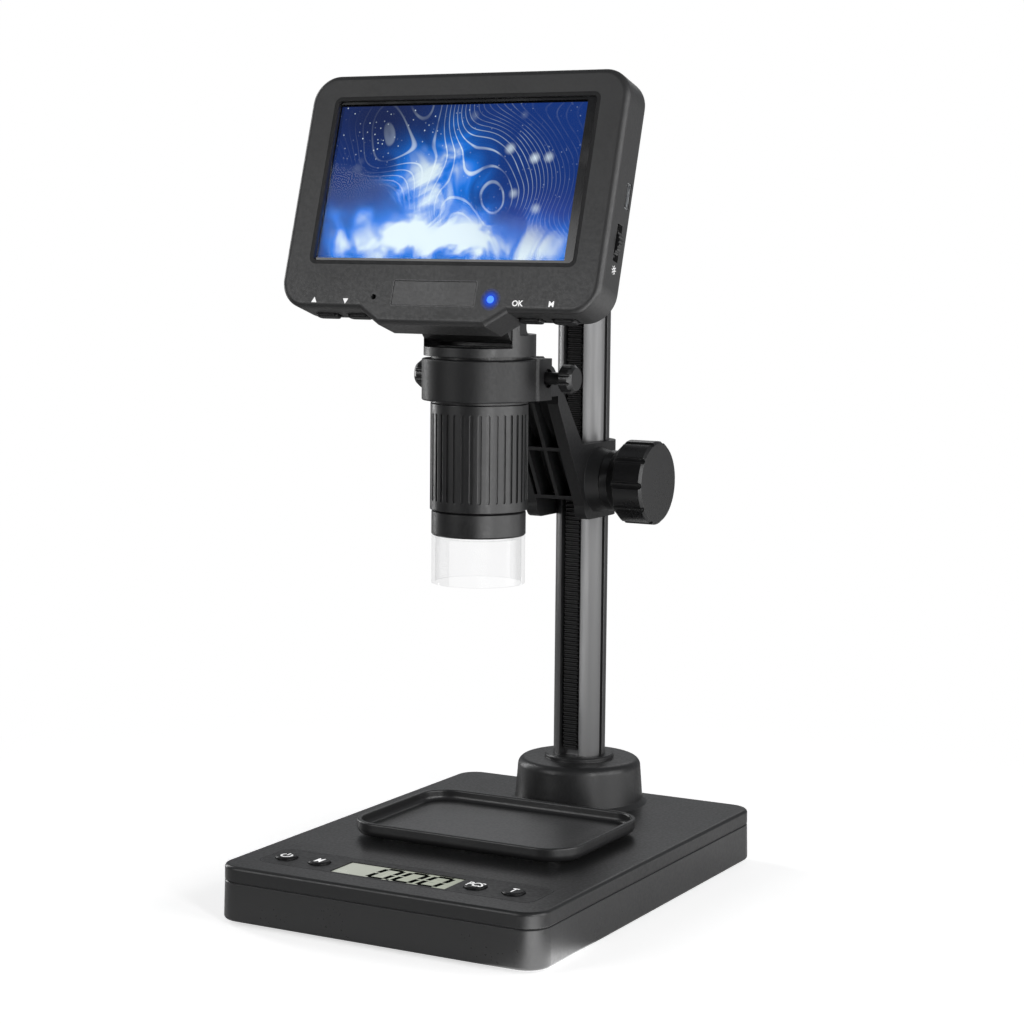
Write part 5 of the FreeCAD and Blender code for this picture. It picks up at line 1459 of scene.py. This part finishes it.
@dataclass
class DisplayHead:
    """The display head: its legends, the fine lines on its face, the lamp's glow and the side sign."""

    front: float = -0.005
    legend_thick: float = 0.03
    line_thick: float = 0.02
    arrow_half: float = 1.05
    arrow_span: Pair = (-0.8, 1.1)
    arrow_up: float = -42.5
    up_x: float = -46.4
    down_x: float = -33.9
    words: tuple[tuple[str, str, float], ...] = (("legend_enter", "OK", 32.0), ("legend_menu", "M", 44.4))
    word_up: float = -42.2
    word_size: float = 2.7
    window_size: Pair = (99.7, 56.8)
    window_overlap: float = 0.1
    trim_width: float = 1.3
    trim_radii: Pair = (2.6, 1.5)
    plate_size: Pair = (31.7, 8.4)
    plate_up: float = -39.3
    plate_line: float = 0.35
    plate_radii: Pair = (0.9, 0.6)
    halo_radii: Pair = (3.8, 1.4)
    halo_points: int = 36
    halo_thick: float = 0.01
    side_x: float = 60.955
    sun_place: Pair = (7.8, -28.2)
    sun_rays: int = 8
    ray_span: Pair = (0.95, 1.5)
    ray_width: float = 0.25
    disc_radii: Pair = (0.72, 0.44)
    disc_points: int = 24

    def build(self, detail: Detailer) -> None:
        """Adds every detail of the head.

        Args:
            detail: What makes the details.
        """
        low, high = self.arrow_span
        up = [(-self.arrow_half, low), (self.arrow_half, low), (0.0, high)]
        down = [(across, -along) for across, along in up]
        for name, loop, x in (("legend_up", up, self.up_x), ("legend_down", down, self.down_x)):
            mesh = detail.outline_mesh(name, [loop], self.legend_thick)
            self._on_face(detail, name, mesh, (x, self.arrow_up), INK)
        for name, text, x in self.words:
            mesh = detail.word_mesh(name, text, self.word_size, self.legend_thick)
            self._on_face(detail, name, mesh, (x, self.word_up), INK)
        self._sun(detail)
        self._frames(detail)

    def _on_face(self, detail: Detailer, name: str, mesh: bpy.types.Mesh, at: Pair,
                 finish: AnyFinish) -> None:
        """Lays a flat piece on the front face."""
        matrix = detail.place(Face.SCREEN_FRONT, *at, self.front)
        detail.add(name, mesh, matrix, Body.HEAD, Slot.HEAD, finish)

    def _frames(self, detail: Detailer) -> None:
        """Adds the dark trim round the window, the line round the plate and the lamp's glow.

        Args:
            detail: What makes the details.
        """
        width, height = self.window_size
        band, overlap = 2 * self.trim_width, self.window_overlap
        outer = rounded(width + band, height + band, self.trim_radii[0])
        inner = rounded(width - overlap, height - overlap, self.trim_radii[1])
        mesh = detail.ring_mesh("window_trim", outer, inner, self.line_thick)
        self._on_face(detail, "window_trim", mesh, (0.0, 0.0), TRIM)
        width, height = self.plate_size
        outer = rounded(width + 2 * self.plate_line, height + 2 * self.plate_line, self.plate_radii[0])
        inner = rounded(width, height, self.plate_radii[1])
        mesh = detail.ring_mesh("plate_edge", outer, inner, self.line_thick)
        self._on_face(detail, "plate_edge", mesh, (0.0, self.plate_up), PLATE_EDGE)
        outer, inner = (circle(radius, self.halo_points) for radius in self.halo_radii)
        mesh = detail.ring_mesh("lamp_halo", outer, inner, self.halo_thick)
        self._on_face(detail, "lamp_halo", mesh, LAMP_HALO.at, LAMP_HALO)

    def _sun(self, detail: Detailer) -> None:
        """Adds the small sign for brightness beside the wheel.

        Args:
            detail: What makes the details.
        """
        loops: list[Outline] = []
        for index in range(self.sun_rays):
            angle = math.radians(360 / self.sun_rays * index)
            start, end = ((reach * math.cos(angle), reach * math.sin(angle)) for reach in self.ray_span)
            loops.append(bar(start, end, self.ray_width))
        matrix = detail.place(Face.HEAD_SIDE, *self.sun_place, self.side_x)
        rays = detail.outline_mesh("legend_sun_rays", loops, self.legend_thick)
        detail.add("legend_sun_rays", rays, matrix, Body.HEAD, Slot.HEAD, INK)
        outer, inner = (circle(radius, self.disc_points) for radius in self.disc_radii)
        disc = detail.ring_mesh("legend_sun_disc", outer, inner, self.legend_thick)
        detail.add("legend_sun_disc", disc, matrix, Body.HEAD, Slot.HEAD, INK)


@dataclass(frozen=True)
class LightPanel:
    """A soft rectangular light: its place and size in metres and its power in watts."""

    name: str
    at: tuple[float, float, float]
    size: Pair
    power: float


@dataclass
class Studio:
    """The floor, the lights, the background and the camera."""

    camera_at: tuple[float, float, float] = (405.734, -736.004, 228.923)
    yaw_deg: float = 28.626
    pitch_deg: float = -6.353
    roll_deg: float = 0.549
    lens: float = 84.635
    sensor: float = 36.0
    lights: tuple[LightPanel, ...] = (
        LightPanel("right_panel", (1.3, 0.05, 0.42), (1.1, 1.0), 13.0),
        LightPanel("corner_strip", (1.08, -0.75, 0.42), (0.16, 1.0), 7.0),
        LightPanel("front_panel", (-0.72, -1.25, 0.60), (0.55, 0.8), 6.0),
        LightPanel("left_strip", (-1.1, 0.25, 0.40), (0.22, 1.0), 5.0),
        LightPanel("back_panel", (-0.45, 1.25, 0.85), (0.9, 0.6), 1.5),
    )
    lights_aim: tuple[float, float, float] = (0.0, 0.0, 0.14)
    floor_half: float = 6.0
    floor_drop: float = 0.0005
    floor_roughness: float = 0.9
    floor_tones: tuple[Colour, Colour] = ((0.80, 0.80, 0.80), (0.84, 0.84, 0.84))
    floor_cloud: float = 3.0
    floor_fade: Pair = (0.10, 0.34)
    near_light: Pair = (0.12, 0.62)
    far_light: Pair = (0.2, 1.0)
    side_rise: Pair = (0.70, 1.0)
    side_fall: Pair = (2.75, 2.30)
    side_sheen: float = 1.6
    corner_rise: Pair = (0.40, 0.62)
    corner_fall: Pair = (1.02, 0.80)
    corner_sheen: float = 4.6
    air_colour: Colour = (0.8, 0.82, 0.85)
    air_light: Pair = (0.07, 0.26)

    def build(self) -> None:
        """Adds the floor, the background, the lights and the camera."""
        self._floor()
        self._world()
        for light in self.lights:
            self._light(light)
        self._camera()

    def _floor(self) -> None:
        """Adds a wide pale floor."""
        shape = bmesh.new()
        bmesh.ops.create_grid(shape, x_segments=8, y_segments=8, size=self.floor_half)
        mesh = bpy.data.meshes.new("floor")
        shape.to_mesh(mesh)
        shape.free()
        floor = bpy.data.objects.new("floor", mesh)
        bpy.context.scene.collection.objects.link(floor)
        floor.location.z = -self.floor_drop
        material = bpy.data.materials.new("pale_floor")
        material.use_nodes = True
        material.node_tree.nodes.clear()
        graph = Graph(material.node_tree)
        end = graph.node("ShaderNodeOutputMaterial")
        graph.feed(end.inputs["Surface"], self._floor_shader(graph))
        floor.data.materials.append(material)

    def _floor_shader(self, graph: Graph) -> Socket:
        """Builds the floor's surface: pale near the object and pure white away from it.

        Reflections in the object see two wedges of the floor brighter, at its right and before its corner.

        Args:
            graph: The floor material's graph.

        Returns:
            The shader's output.
        """
        point = graph.node("ShaderNodeTexCoord").outputs["Object"]
        path = graph.node("ShaderNodeLightPath")
        seen, mirrored = path.outputs["Is Camera Ray"], path.outputs["Is Glossy Ray"]
        right, back, _ = graph.axes(point)
        turn = graph.math("ARCTAN2", right, graph.product(back, -1.0))
        side = graph.product(graph.ramp(turn, *self.side_rise), graph.ramp(turn, *self.side_fall),
                             mirrored, self.side_sheen)
        corner = graph.product(graph.ramp(turn, *self.corner_rise), graph.ramp(turn, *self.corner_fall),
                               mirrored, self.corner_sheen)
        cloud = graph.noise(point, self.floor_cloud).outputs[0]
        near = graph.shader("ShaderNodeBsdfPrincipled", {
            "Base Color": graph.mix(cloud, *(opaque(tone) for tone in self.floor_tones)),
            "Roughness": self.floor_roughness,
            "Emission Color": opaque(WHITE),
            "Emission Strength": graph.total(graph.ramp(seen, 0.0, 1.0, *self.near_light), corner),
        })
        sheen = graph.math("MAXIMUM", side, corner)
        strength = graph.total(graph.ramp(seen, 0.0, 1.0, *self.far_light), sheen)
        far = graph.shader("ShaderNodeEmission", {"Strength": strength})
        away = graph.vector("LENGTH", point).outputs["Value"]
        return graph.blend(graph.ramp(away, *self.floor_fade), near, far)

    def _world(self) -> None:
        """Sets a white background for the eye and an even dimmer light for the object."""
        world = bpy.data.worlds.new("studio")
        bpy.context.scene.world = world
        world.use_nodes = True
        world.node_tree.nodes.clear()
        graph = Graph(world.node_tree)
        path = graph.node("ShaderNodeLightPath").outputs
        seen = graph.math("MAXIMUM", path["Is Camera Ray"], path["Is Transmission Ray"])
        white = graph.shader("ShaderNodeBackground", {"Color": opaque(WHITE)})
        dim = graph.shader("ShaderNodeBackground", {
            "Color": opaque(self.air_colour),
            "Strength": graph.ramp(path["Is Glossy Ray"], 0.0, 1.0, *self.air_light),
        })
        end = graph.node("ShaderNodeOutputWorld")
        graph.feed(end.inputs["Surface"], graph.blend(seen, dim, white))

    def _light(self, light: LightPanel) -> None:
        """Adds one soft light panel that faces the middle of the object.

        Args:
            light: The light's place, size and power.
        """
        data = bpy.data.lights.new(light.name, "AREA")
        data.shape = "RECTANGLE"
        data.size, data.size_y = light.size
        data.energy = light.power
        item = bpy.data.objects.new(light.name, data)
        bpy.context.scene.collection.objects.link(item)
        item.location = light.at
        ahead = Vector(self.lights_aim) - Vector(light.at)
        item.rotation_euler = ahead.to_track_quat("-Z", "Y").to_euler()

    def _camera(self) -> None:
        """Adds the camera at the photograph's place and angle."""
        yaw, pitch, roll = (math.radians(angle) for angle in (self.yaw_deg, self.pitch_deg, self.roll_deg))
        ahead = Vector((-math.sin(yaw) * math.cos(pitch), math.cos(yaw) * math.cos(pitch), math.sin(pitch)))
        right = Vector((math.cos(yaw), math.sin(yaw), 0.0))
        up = right.cross(ahead)
        right_rolled = right * math.cos(roll) + up * math.sin(roll)
        up_rolled = up * math.cos(roll) - right * math.sin(roll)
        turn = Matrix((right_rolled, up_rolled, -ahead)).transposed().to_4x4()
        data = bpy.data.cameras.new("camera")
        data.lens = self.lens
        data.sensor_width = self.sensor
        data.clip_start = 0.01
        item = bpy.data.objects.new("camera", data)
        bpy.context.scene.collection.objects.link(item)
        item.matrix_world = Matrix.Translation(Vector(self.camera_at) * MM) @ turn
        bpy.context.scene.camera = item


@dataclass
class Microscope:
    """The whole object: the frame's nodes and the details on them."""

    dresser: Dresser
    base: BaseUnit = field(default_factory=BaseUnit)
    head: DisplayHead = field(default_factory=DisplayHead)

    def build(self, nodes: dict[str, bpy.types.Object]) -> int:
        """Dresses the frame and adds the details.

        Args:
            nodes: The frame's objects by node name.

        Returns:
            How many pieces were added.
        """
        for name, item in nodes.items():
            finish = NODE_FINISH.get(name, KEYS)
            self.dresser.dress(item, finish)
            LOG.info("dressed %s in %s", name, finish.name)
        detail = Detailer(self.dresser)
        self.base.build(detail)
        self.head.build(detail)
        return detail.count


def main() -> None:
    """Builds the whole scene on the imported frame."""
    logging.basicConfig(level=logging.INFO, format="%(name)s: %(message)s")
    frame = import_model()
    bpy.context.scene.view_settings.view_transform = "Standard"
    added = Microscope(Dresser(Effects())).build(frame["nodes"])
    LOG.info("%d nodes dressed, %d pieces added", len(frame["nodes"]), added)
    Studio().build()


if __name__ == "__main__":
    main()
